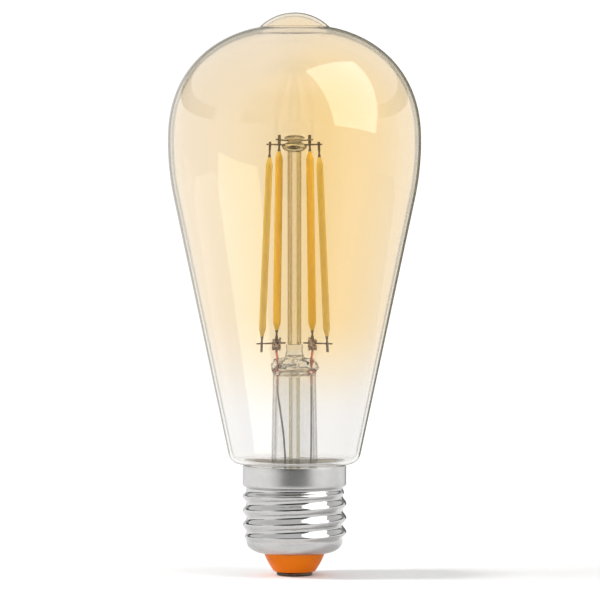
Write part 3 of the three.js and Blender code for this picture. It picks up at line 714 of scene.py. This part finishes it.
def make_stem():
    """The stem: a flare on the neck, a tube, a pinch squeezed flat round the seal wires, and a boss for
    the pillar. It is hollow up to a domed ceiling under the pinch."""
    turns, wall, dome = 96, 0.7, 1.3
    mouth_r, foot_r, head_r, flat_y, boss_r = 10.5, 5.9, 5.45, 1.75, 2.1
    mouth_z, tube_top, boss_low, boss_top = STEM_LOW.z, PINCH_LOW - 0.2, PINCH_HIGH + 0.45, STEM_HIGH.z
    flare = [
        (mouth_r - (mouth_r - foot_r) * math.sin(a), mouth_z + (FLARE_TOP - mouth_z) * (1 - math.cos(a)))
        for a in quarter(14)
    ]
    tube_h = tube_top - FLARE_TOP
    tube = [(foot_r + (head_r - foot_r) * t, FLARE_TOP + tube_h * t) for t in shares(16, 1)]
    body = [*flare, *tube]
    hollow = inset(body, wall)
    hollow[0] = (mouth_r - wall, mouth_z)
    outer, inner = ([oval(r, r, z, turns) for r, z in outline] for outline in (body, hollow))
    pinch = []
    for t in shares(24):
        squeeze = min(1.0, t * 2.4)
        squeeze = squeeze * squeeze * (3 - 2 * squeeze)
        bulge = 0.5 * math.sin(math.pi * min(1.0, t * 1.15)) - 0.9 * max(0.0, (t - 0.82) / 0.18) ** 2
        half_x = head_r + 0.2 * squeeze + bulge * 0.5
        half_y = head_r + (flat_y - head_r) * squeeze + bulge * 0.6
        z = PINCH_LOW + 0.3 + (PINCH_HIGH - 0.4 - PINCH_LOW) * t
        pinch.append(oval(half_x, half_y, z, turns, 1.4 * squeeze))
    crown = [oval(4.0, 1.55, PINCH_HIGH + 0.05, turns, 0.3), oval(2.7, 1.9, PINCH_HIGH + 0.2, turns)]
    boss = []
    for t in shares(12):
        r = boss_r + 0.3 * (1 - t) ** 4 + 0.06 * math.sin(math.pi * t * 3)
        boss.append(oval(r, r, boss_low + (boss_top - 0.1 - boss_low) * t, turns))
    ceiling = [(0, tube_top + dome)]
    for a in quarter(8, 1)[:-1]:
        ceiling.append(((head_r - wall) * math.sin(a), tube_top + dome * math.cos(a)))
    ceiling = [oval(r, r, z, turns) for r, z in ceiling]
    rings = [*ceiling, *inner[::-1], *outer, *pinch, *crown, *boss, [(0, 0, boss_top)]]
    settle(skin("stem_glass", rings, 50), "clear_glass", "stem")


def make_exhaust_tube():
    """The exhaust tube inside the stem, melted shut at its lower end."""
    radius, bore, tip_h = 1.4, 0.8, 1.4
    tip, top = EXHAUST_LOW.z, EXHAUST_HIGH.z
    curve = [(radius * math.sin(a), tip + tip_h * (1 - math.cos(a))) for a in quarter(8, 1)]
    inside = [(bore, top), (bore, tip + 1.8), (0, tip + 1.3)]
    piece = lathe("exhaust_glass", [(0, tip), *curve, (radius, top), *inside], turns=48)
    settle(piece, "clear_glass", "exhaust_tube", finish="thick_tube")


def make_pillar():
    """The pillar: a length of tube between the stem's boss and the button."""
    radius, bore = PILLAR_HIGH.x, 0.9
    low, high = PILLAR_LOW.z, PILLAR_HIGH.z
    outline = rounded([(bore, low), (radius, low), (radius, high), (bore, high)], 0.15, 3)
    settle(lathe("pillar_glass", outline, turns=64), "clear_glass", "glass_pillar", finish="thick_tube")


def make_button():
    """The button: a wide bead with a smaller disc on it, both a little uneven."""
    low, high, crown, disc = BUTTON_LOW.z, BUTTON_HIGH.z, BUTTON_HIGH.x, 2.5
    profile = [
        *[(1.75, 0.0), (2.3, 0.25), (2.9, 0.7), (crown, 1.2), (crown, 1.6), (crown - 0.3, 1.95)],
        *[(2.0, 2.25), (1.55, 2.6), (1.6, 2.95), (disc, 3.25), (disc + 0.1, 3.55), (disc - 0.2, 3.85)],
        *[(disc - 0.9, 4.1), (0.7, 4.22)],
    ]
    outline = rounded([(0, low), *[(r, low + z) for r, z in profile], (0, high)], 0.4)
    piece = skin("button_glass", [oval(r, r, z, 72, 0.35) for r, z in outline], 60)
    settle(piece, "clear_glass", "pillar_button", finish="button_glass")


# ---------------------------------------------------------------- filaments and their tabs


def filament_axis(name):
    """The foot and direction of a filament's middle line, from the middles of its two tabs."""
    foot, head = middle(f"{name}_lower_tab"), middle(f"{name}_upper_tab")
    return foot, (head - foot).normalized()


def reach(name, z):
    """How far up a filament's middle line a height is, from the line's foot."""
    foot, along = filament_axis(name)
    return (z - foot.z) / along.z


def weld(name, z):
    """The point of a filament's middle line at a height."""
    foot, along = filament_axis(name)
    return foot + along * reach(name, z)


def filament_skin(name, piece, rings, crease=35):
    """A skin through rings that are given across and along a filament."""
    foot, along = filament_axis(name)
    turn = Vector((0, 0, 1)).rotation_difference(along).to_matrix()
    return skin(piece, [[foot + turn @ Vector(p) for p in ring] for ring in rings], crease)


def make_coating(name, side):
    """A filament's coating: a flattened rod with wedge-shaped ends, hollow where the strip and tabs lie."""
    sizes = bpy.context.scene.lamp_filament
    is_outer = name.startswith("outer")
    low, high = extent(f"{name}_phosphor")
    start, end = reach(name, low.z), reach(name, high.z)
    directions = bearings(32)
    flattened = [(math.copysign(abs(c) ** 0.8, c), math.copysign(abs(s) ** 0.8, s)) for c, s in directions]
    seed = 17 * side + (5 if is_outer else 0)
    slim = 0.85 if is_outer else 0.95
    outer = []
    for t in shares(90):
        z = start + (end - start) * (0.5 - 0.5 * math.cos(math.pi * t))
        near = min(z - start, end - z) / sizes.tip
        girth = 1 - 0.68 * (1 - min(near, 1)) ** 1.35
        girth *= slim + 0.035 * noise.noise(Vector((seed, 0, z * 0.35)))
        half_x, half_y = sizes.width / 2 * girth, sizes.thickness / 2 * girth
        outer.append([(c * half_x, s * half_y, z) for c, s in flattened])
    # The hollow is wider over the strip than over the tabs that are let into both ends
    insert, mouth, tab, strip = 1.4, (0.3, 0.16), (0.52, 0.22), (0.62, 0.32)
    upper = [(mouth, end), (tab, end - 0.3), (tab, end - insert), (strip, end - insert - 0.01)]
    lower = [(strip, start + insert + 0.01), (tab, start + insert), (tab, start + 0.3), (mouth, start)]
    inner = []
    for (half_x, half_y), z in [*upper, *lower]:
        square = [(c, s, max(abs(c) / half_x, abs(s) / half_y)) for c, s in directions]
        inner.append([(c / far, s / far, z) for c, s, far in square])
    piece = filament_skin(name, f"{name}_coating", [*outer, *inner])
    # The inner pair's chips face the axis and the front, the outer pair's face the back; the side of each
    # filament away from its chips is painted duller, as shade
    chips = Vector((-0.3 * side, 0.95, 0)) if is_outer else Vector((-0.88 * side, -0.47, 0))
    values = [0.5 + 0.5 * v.normal.dot(chips) for v in piece.data.vertices]
    piece.data.attributes.new("chip_side_and_shade", "FLOAT", "POINT").data.foreach_set("value", values)
    settle(piece, "phosphor_silicone", f"{name}_phosphor")


def make_tab(name, end):
    """A thin metal tab: a soft-edged strip, waisted and a little twisted where it leaves the coating."""
    low, high = extent(f"{name}_{end}_tab")
    start, stop = reach(name, low.z), reach(name, high.z)
    coat_low, coat_high = extent(f"{name}_phosphor")
    root = reach(name, (coat_high if end == "upper" else coat_low).z)
    soft, thick = 0.05, 0.1
    rings = []
    for t in shares(24):
        z = start + (stop - start) * t
        off = (z - root) if end == "upper" else (root - z)
        half = 0.4 * (1 - 0.4 * math.exp(-(((off - 1.0) / 0.6) ** 2)))
        twist = math.radians(TAB_TWIST[name]) * max(0, min(1, (off - 0.4) / 1.4))
        turn = Matrix.Rotation(twist, 3, "Z")
        edge, flat = thick - soft, half - soft
        section = [(half, -edge), (half, edge), (flat, thick), (-flat, thick)]
        section += [(-x, -y) for x, y in section]
        rings.append([turn @ Vector((x, y, z)) for x, y in section])
    rings = [[(0, 0, rings[0][0].z)], *rings, [(0, 0, rings[-1][0].z)]]
    piece = filament_skin(name, f"{name}_{end}_strip", rings, 30)
    settle(piece, "nickel_wire", f"{name}_{end}_tab")


# ---------------------------------------------------------------- wires and clamps


def smooth(points, steps=12):
    """A centripetal curve through points."""
    knots = [Vector(p) for p in points]
    knots = [2 * knots[0] - knots[1], *knots, 2 * knots[-1] - knots[-2]]
    path = [knots[1]]
    for a, b, c, d in zip(knots, knots[1:], knots[2:], knots[3:]):
        t0 = 0.0
        t1 = t0 + (b - a).length ** 0.5
        t2 = t1 + (c - b).length ** 0.5
        t3 = t2 + (d - c).length ** 0.5
        for share in shares(steps, 1):
            t = t1 + (t2 - t1) * share
            ab = a.lerp(b, (t - t0) / (t1 - t0))
            bc = b.lerp(c, share)
            cd = c.lerp(d, (t - t2) / (t3 - t2))
            abc = ab.lerp(bc, (t - t0) / (t2 - t0))
            bcd = bc.lerp(cd, (t - t1) / (t3 - t1))
            path.append(abc.lerp(bcd, share))
    return path


def draw_wire(name, points, radius, slot, node):
    """A round wire through points in millimetres."""
    path = smooth(points)
    mesh = bpy.data.meshes.new(name)
    mesh.from_pydata([p * MM for p in path], [(i, i + 1) for i in range(len(path) - 1)], [])
    piece = add_object(name, mesh)
    tree = bpy.data.node_groups.get("wire") or wire_tree()
    grow(piece, tree, {"Radius": radius * MM, "Step": 0.25 * MM, "Finish": FINISHES[slot]})
    settle(piece, slot, node)


def seal_path(side):
    """A seal wire goes up through the pinch and bends back into its clamp."""
    foot = weld(f"inner_{side}", CROSSBAR_Z)
    x = SIDES[side] * LEAD_X
    straight = [(x, 0, z) for z in (PINCH_LOW - 2.6, PINCH_LOW + 1, PINCH_HIGH - 0.2)]
    return [*straight, (foot.x, foot.y, PINCH_HIGH + 1.5), (foot.x, foot.y, CROSSBAR_Z - 0.32)]


def lead_path(side):
    """A lead drops from its seal wire through the stem to the driver board, the left one aslant."""
    slant = 0.62 if side == "left" else 1.0
    sign, board_low, board_high = SIDES[side], *extent("driver_board")
    x, y, z = sign * LEAD_X, board_low.y - 0.37, PINCH_LOW - 2.6
    pad = sign * (board_high.x - 2.9)
    return [
        (x, 0, z - 0.12),
        (x, 0, z - 1.4),
        (x * slant, 0.3, FLARE_TOP + 8),
        (x * slant, 0.6, FLARE_TOP - 1),
        (pad, y, board_high.z + 0.6),
        (pad, y, board_high.z - 1.6),
    ]


def crossbar_path(side):
    """A crossbar runs level from beyond the inner filament, through its clamp, past the outer filament."""
    inner = weld(f"inner_{side}", CROSSBAR_Z)
    outer = weld(f"outer_{side}", CROSSBAR_Z) + Vector((0, WELD_SIDE, 0))
    spare = (outer - inner).normalized() * 1.5
    return [inner - spare * 1.8, inner + spare * 0.2, outer, outer + spare]


def link_path(pair):
    """A link wire runs from one filament's head to the other's, through the button on the axis."""
    head_z, middle_z = HEAD_Z[pair], LINK_Z[pair]
    head = weld(f"{pair}_right", head_z)
    y, over = head.y - WELD_SIDE, 1 + 0.8 / head.x
    end_z = head_z + (head_z - middle_z) * (over - 1)
    half = [(0, 0, middle_z), (head.x, y, head_z), (head.x * over, y * over, end_z)]
    return [*[(-x, y, z) for x, y, z in half[:0:-1]], *half]


def make_clamp(side):
    """A metal clip, crushed round the crossbar and the seal wire, with a torn horn towards the axis."""
    centre = middle(f"clamp_{side}")
    low, high = extent(f"clamp_{side}")
    half = (high - low) / 2
    sheet, least = 0.24, 0.36
    seed = Vector((7.0 * SIDES[side], 3.1, 0.4))
    outer, inner = [], []
    for t in shares(26):
        z = low.z + (high.z - low.z) * t
        pinch = 1 - 0.20 * math.exp(-(((t - 0.55) / 0.13) ** 2))
        pinch -= 0.10 * math.exp(-(((t - 0.12) / 0.08) ** 2))
        walls = [], []
        for c, s in bearings(40):
            far = 1 / (abs(c / half.x) ** 5 + abs(s / half.y) ** 5) ** 0.2
            around = seed + Vector((c * 1.6, s * 1.6, 0))
            crush = abs(noise.noise(around + Vector((0, 0, z * 0.8)))) * 0.6
            fold = abs(noise.noise(around * 1.9 + Vector((0, 0, z * 2.1)))) * 0.6
            r = far * min(max(1.14 * pinch - crush - fold, 0.42), 1)
            horn = max(0, -SIDES[side] * c) ** 6
            torn = 0.55 * noise.noise(around * 1.3) * (abs(2 * t - 1) ** 3)
            torn -= 0.7 * (1 - horn) * max(0, 2 * t - 1) ** 3
            h = min(max(z + torn, low.z), high.z)
            for wall, radius in zip(walls, (r, max(r - sheet, least))):
                wall.append((centre.x + radius * c, centre.y + radius * s, h))
        outer.append(walls[0])
        inner.append(walls[1])
    piece = skin(f"clamp_clip_{side}", [*outer, *inner[::-1]], 40)
    # Its finish paints highlights on the clip's creases and shade in its folds
    settle(piece, "nickel_wire", f"clamp_{side}", finish="crushed_strip")


# ---------------------------------------------------------------- driver


def dress(node, slot):
    """Shows a CAD node as it is, in its finish."""
    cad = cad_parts[node]
    cad.data.materials.clear()
    cad.data.materials.append(FINISHES[slot])


def make_block(node, slot, edge):
    """A box the size of its node, with rounded edges."""
    low, high = extent(node)
    body = bmesh.new()
    place = Matrix.LocRotScale((low + high) / 2 * MM, None, (high - low) * MM)
    bmesh.ops.create_cube(body, size=1.0, matrix=place)
    bmesh.ops.bevel(body, geom=body.edges[:], offset=edge * MM, segments=3, affect="EDGES", profile=0.5)
    mesh = bpy.data.meshes.new(f"{node}_part")
    body.to_mesh(mesh)
    body.free()
    soften(mesh, 30)
    settle(add_object(mesh.name, mesh), slot, node)


def make_round(node, slot, outline):
    """A turned part standing where its node stands, from an outline measured from the node's foot."""
    foot = middle(node)
    foot.z = extent(node)[0].z
    rings = [[foot + Vector(p) for p in oval(r, r, z, 64)] for r, z in outline]
    settle(skin(f"{node}_part", rings), slot, node)


def girth(node):
    """The radius and height of an upright round node, in millimetres."""
    low, high = extent(node)
    return (high.x - low.x) / 2, high.z - low.z


def make_driver_parts():
    """The driver's parts: a grooved can, a resistor with end caps, a wound bobbin, chips and boards."""
    r, h = girth("smoothing_capacitor")
    groove = [(r, h * 0.1), (r - 0.22, h * 0.14), (r, h * 0.18)]
    can = [(0, 0), (r, 0), *groove, (r, h), (r - 0.5, h), (r - 0.7, h - 0.15), (0, h - 0.15)]
    make_round("smoothing_capacitor", "aluminium_can", rounded(can, 0.3))
    r, h = girth("fusible_resistor")
    waist = [(r, h * 0.2), (r * 0.86, h * 0.27), (r * 0.86, h * 0.73), (r, h * 0.8)]
    make_round("fusible_resistor", "resistor_body", rounded([(0, 0), (r, 0), *waist, (r, h), (0, h)], 0.4))
    r, h = girth("inductor_core")
    bobbin = [(0, 0), (r, 0), (r, 0.6), (r / 2, 0.6), (r / 2, h - 0.6), (r, h - 0.6), (r, h), (0, h)]
    make_round("inductor_core", "black_moulding", rounded(bobbin, 0.15))
    r, h = girth("inductor_winding")
    inner, wire = 1.46, 0.16
    count = int(h / wire / 2)
    coil = [(inner, 0)]
    for i in range(count):
        for t in shares(6):
            a = math.pi * (t - 0.5)
            coil.append((r - wire + wire * math.cos(a), h * (i + 0.5 + 0.5 * math.sin(a)) / count))
    make_round("inductor_winding", "enamelled_wire", [*coil, (inner, h)])
    for node, slot, edge in (
        ("bridge_rectifier", "black_moulding", 0.18),
        ("driver_chip", "black_moulding", 0.18),
        ("radio_shield", "aluminium_can", 0.2),
        ("driver_board", "board_laminate", 0.08),
        ("radio_board", "board_laminate", 0.06),
    ):
        make_block(node, slot, edge)


# ---------------------------------------------------------------- operators


class LAMP_OT_bulb(bpy.types.Operator):
    """Blows the double-walled glass bulb, from its neck to the knob on its top"""

    bl_idname = "lamp.bulb"
    bl_label = "Glass bulb"

    def execute(self, context):
        make_bulb()
        return {"FINISHED"}


class LAMP_OT_cap(bpy.types.Operator):
    """Rolls the threaded shell and turns the insulator and the centre contact"""

    bl_idname = "lamp.cap"
    bl_label = "Screw cap"

    def execute(self, context):
        make_shell()
        make_insulator()
        make_contact()
        dress("capping_cement", "capping_cement")
        return {"FINISHED"}


class LAMP_OT_stem(bpy.types.Operator):
    """Draws the glass stem with its pinch, the exhaust tube, the pillar and the button"""

    bl_idname = "lamp.stem"
    bl_label = "Glass stem"

    def execute(self, context):
        make_stem()
        make_exhaust_tube()
        make_pillar()
        make_button()
        return {"FINISHED"}


class LAMP_OT_filaments(bpy.types.Operator):
    """Makes the four filaments, each a coated strip with a metal tab at either end"""

    bl_idname = "lamp.filaments"
    bl_label = "Filaments"

    def execute(self, context):
        for side, sign in SIDES.items():
            for pair in PAIRS:
                name = f"{pair}_{side}"
                make_coating(name, sign)
                make_tab(name, "lower")
                make_tab(name, "upper")
                dress(f"{name}_substrate", "filament_ceramic")
        return {"FINISHED"}


class LAMP_OT_wires(bpy.types.Operator):
    """Draws every wire of the mount and crushes the clamps round them"""

    bl_idname = "lamp.wires"
    bl_label = "Wires and clamps"

    def execute(self, context):
        for side in SIDES:
            draw_wire(f"seal_{side}", seal_path(side), SEAL_R, "copper_seal_wire", f"seal_wire_{side}")
            draw_wire(f"lead_{side}", lead_path(side), LEAD_R, "nickel_wire", f"lead_wire_{side}")
            draw_wire(f"bar_{side}", crossbar_path(side), CROSS_R, "nickel_wire", f"crossbar_{side}")
            make_clamp(side)
        for pair in PAIRS:
            draw_wire(f"{pair}_link", link_path(pair), CROSS_R, "nickel_wire", f"{pair}_link_wire")
        return {"FINISHED"}


class LAMP_OT_driver(bpy.types.Operator):
    """Makes the driver's parts, its wires and the film sleeve round it"""

    bl_idname = "lamp.driver"
    bl_label = "Driver"

    def execute(self, context):
        make_driver_parts()
        for node in ("contact_wire", "resistor_lead", "shell_wire"):
            dress(node, "nickel_wire")
        dress("driver_sleeve", "insulating_film")
        return {"FINISHED"}


class LAMP_OT_stage(bpy.types.Operator):
    """Sets the camera, a white floor, the soft boxes and the surroundings"""

    bl_idname = "lamp.stage"
    bl_label = "Stage"

    def execute(self, context):
        make_stage()
        return {"FINISHED"}


class LAMP_PT_panel(bpy.types.Panel):
    """Lists the lamp's settings and its operators"""

    bl_idname = "LAMP_PT_panel"
    bl_label = "Amber filament lamp"
    bl_space_type = "VIEW_3D"
    bl_region_type = "UI"
    bl_category = "Lamp"

    def draw(self, context):
        for group in (context.scene.lamp_glass, context.scene.lamp_cap, context.scene.lamp_filament):
            for name in group.bl_rna.properties.keys():
                if name not in ("rna_type", "name"):
                    self.layout.prop(group, name)
        for operator in OPERATORS:
            self.layout.operator(operator.bl_idname)


# ---------------------------------------------------------------- stage

# What gloss sees round the lamp, in bands from the bottom up: the rises between which each takes over, where
# 1 is straight up, and its levels of light by share of a turn. The turn starts behind the lamp and passes
# its left side, the camera in the middle, and its right side
STUDIO = (
    # Lowest: white walls at both sides, dark behind the camera and behind the lamp's right
    (
        (-2.0, -1.5),
        *[(0.0, 0.8), (0.06, 0.8), (0.085, 1.2), (0.25, 1.25), (0.30, 1.3), (0.37, 1.15), (0.44, 0.1)],
        *[(0.57, 0.1), (0.64, 1.15), (0.75, 1.15), (0.82, 1.35), (0.915, 0.95), (0.94, 0.15), (1.0, 0.15)],
    ),
    # A dark beam, broken at both sides of the camera
    (
        (0.19, 0.21),
        *[(0.0, 0.4), (0.08, 0.4), (0.10, 0.0), (0.27, 0.0), (0.285, 1.1), (0.35, 1.1), (0.37, 0.02)],
        *[(0.58, 0.02), (0.61, 0.7), (0.73, 0.7), (0.75, 0.0), (0.88, 0.0), (0.90, 0.4), (1.0, 0.2)],
    ),
    # White walls again, with a dark gap over the camera
    (
        (0.34, 0.36),
        *[(0.0, 0.4), (0.10, 0.9), (0.35, 0.9), (0.39, 0.3), (0.44, 0.06)],
        *[(0.56, 0.06), (0.61, 0.5), (0.73, 0.7), (0.90, 0.9), (1.0, 0.4)],
    ),
    # A plain ceiling
    ((0.62, 0.74), (0.0, 0.8), (1.0, 0.8)),
)


def grey(level):
    """A neutral colour of a level of light."""
    return (level, level, level, 1)


def soft_box(name, direction, size, power, gloss=False, lean=0.0):
    """An area light that faces the lamp from a direction. It either lights or shows in gloss, not both."""
    light = bpy.data.lights.new(name, "AREA")
    light.shape = "RECTANGLE"
    light.size, light.size_y = size
    light.energy = power
    lamp = add_object(name, light)
    away = Vector(direction).normalized()
    lamp.location = Vector((0, 0, 0.08)) + away * 0.9
    lamp.visible_glossy = lamp.visible_transmission = gloss
    lamp.visible_diffuse = not gloss
    facing = away.to_track_quat("Z", "Y").to_matrix() @ Matrix.Rotation(math.radians(lean), 3, "Z")
    lamp.rotation_euler = facing.to_euler()


def make_surroundings():
    """White all round, softer as light than to the eye, except that gloss sees the studio's bands."""
    world = bpy.data.worlds.new("white_studio")
    bpy.context.scene.world = world
    world.use_nodes = True
    world.cycles.sampling_method = "NONE"
    tree = world.node_tree
    tree.nodes.clear()
    direction = add_node(tree, "TexCoord").outputs["Generated"]
    x, y, z = add_node(tree, "SeparateXYZ", [direction]).outputs
    back = add_node(tree, "Math", (y, -1.0), operation="MULTIPLY")
    angle = add_node(tree, "Math", (x, back), operation="ARCTAN2")
    share = add_node(tree, "Math", (angle, 0.5 / math.pi, 0.5), operation="MULTIPLY_ADD")
    around = grey(0.0)
    for (low, high), *levels in STUDIO:
        lift = add_node(tree, "MapRange", {"Value": z, "From Min": low, "From Max": high})
        band = add_node(tree, "ValToRGB", [share], [(at, grey(level)) for at, level in levels])
        around = add_node(tree, "Mix", {0: lift, 6: around, 7: band}, data_type="RGBA").outputs[2]
    light = add_node(tree, "LightPath").outputs
    studio, white, soft = (
        add_node(tree, "Background", {"Color": shade, "Strength": strength})
        for shade, strength in ((around, 1.0), (grey(1.0), 1.1), (grey(1.0), 0.62))
    )
    plain = add_node(tree, "MixShader", (light["Is Diffuse Ray"], white, soft))
    through = add_node(tree, "Math", (1.0, light["Is Transmission Ray"]), operation="SUBTRACT")
    mirrored = add_node(tree, "Math", (light["Is Glossy Ray"], through), operation="MULTIPLY")
    whole = add_node(tree, "MixShader", (mirrored, plain, studio))
    add_node(tree, "OutputWorld", {"Surface": whole})


def make_stage():
    """A long lens near the lamp's middle height, white paper, two soft boxes and a window at the right."""
    scene = bpy.context.scene
    camera = add_object("camera", bpy.data.cameras.new("camera"))
    camera.data.sensor_width = 36
    camera.data.lens = 308.6
    camera.data.clip_end = 20
    target = Vector((1.4, 0, 69.7)) * MM
    camera.location = target + Vector((0, -1300, 53.3)) * MM
    camera.rotation_euler = (camera.location - target).to_track_quat("Z", "Y").to_euler()
    scene.camera = camera
    mesh = bpy.data.meshes.new("floor")
    wide, front, back = 0.6, -0.12, 0.14
    corners = [(-wide, front, 0), (wide, front, 0), (wide, back, 0), (-wide, back, 0)]
    mesh.from_pydata(corners, [], [(0, 1, 2, 3)])
    floor = add_object("floor", mesh)
    floor.location.z = -0.1 * MM
    # White paper: dead matt
    mesh.materials.append(solid_finish("white_paper", "#f7f7f7", "#f9f9f9", (0.9, 0.95), 3))
    soft_box("key", (0.62, -0.38, 0.66), (0.45, 0.45), 2.3)
    soft_box("left_fill", (-0.80, -0.06, 0.55), (0.2, 0.2), 6.3)
    soft_box("window", (0.695, -0.338, 0.635), (0.8, 1.1), 6.5, gloss=True, lean=-12.5)
    make_surroundings()
    scene.view_settings.view_transform = "Standard"
    # Enough bounces for light to cross every wall of glass
    scene.cycles.max_bounces = 24
    scene.cycles.transmission_bounces = 24
    scene.cycles.transparent_max_bounces = 24
    scene.cycles.glossy_bounces = 8
    scene.cycles.use_denoising = True


# ---------------------------------------------------------------- run

GROUPS = {"lamp_glass": LampGlass, "lamp_cap": LampCap, "lamp_filament": LampFilament}
OPERATORS = (
    LAMP_OT_bulb,
    LAMP_OT_cap,
    LAMP_OT_stem,
    LAMP_OT_filaments,
    LAMP_OT_wires,
    LAMP_OT_driver,
    LAMP_OT_stage,
)


def register():
    for name, group in GROUPS.items():
        bpy.utils.register_class(group)
        setattr(bpy.types.Scene, name, bpy.props.PointerProperty(type=group))
    for operator in OPERATORS:
        bpy.utils.register_class(operator)
    bpy.utils.register_class(LAMP_PT_panel)


def unregister():
    bpy.utils.unregister_class(LAMP_PT_panel)
    for operator in reversed(OPERATORS):
        bpy.utils.unregister_class(operator)
    for name, group in GROUPS.items():
        delattr(bpy.types.Scene, name)
        bpy.utils.unregister_class(group)


def main():
    register()
    make_finishes()
    bpy.ops.lamp.bulb()
    bpy.ops.lamp.cap()
    bpy.ops.lamp.stem()
    bpy.ops.lamp.filaments()
    bpy.ops.lamp.wires()
    bpy.ops.lamp.driver()
    bpy.ops.lamp.stage()


if __name__ == "__main__":
    main()
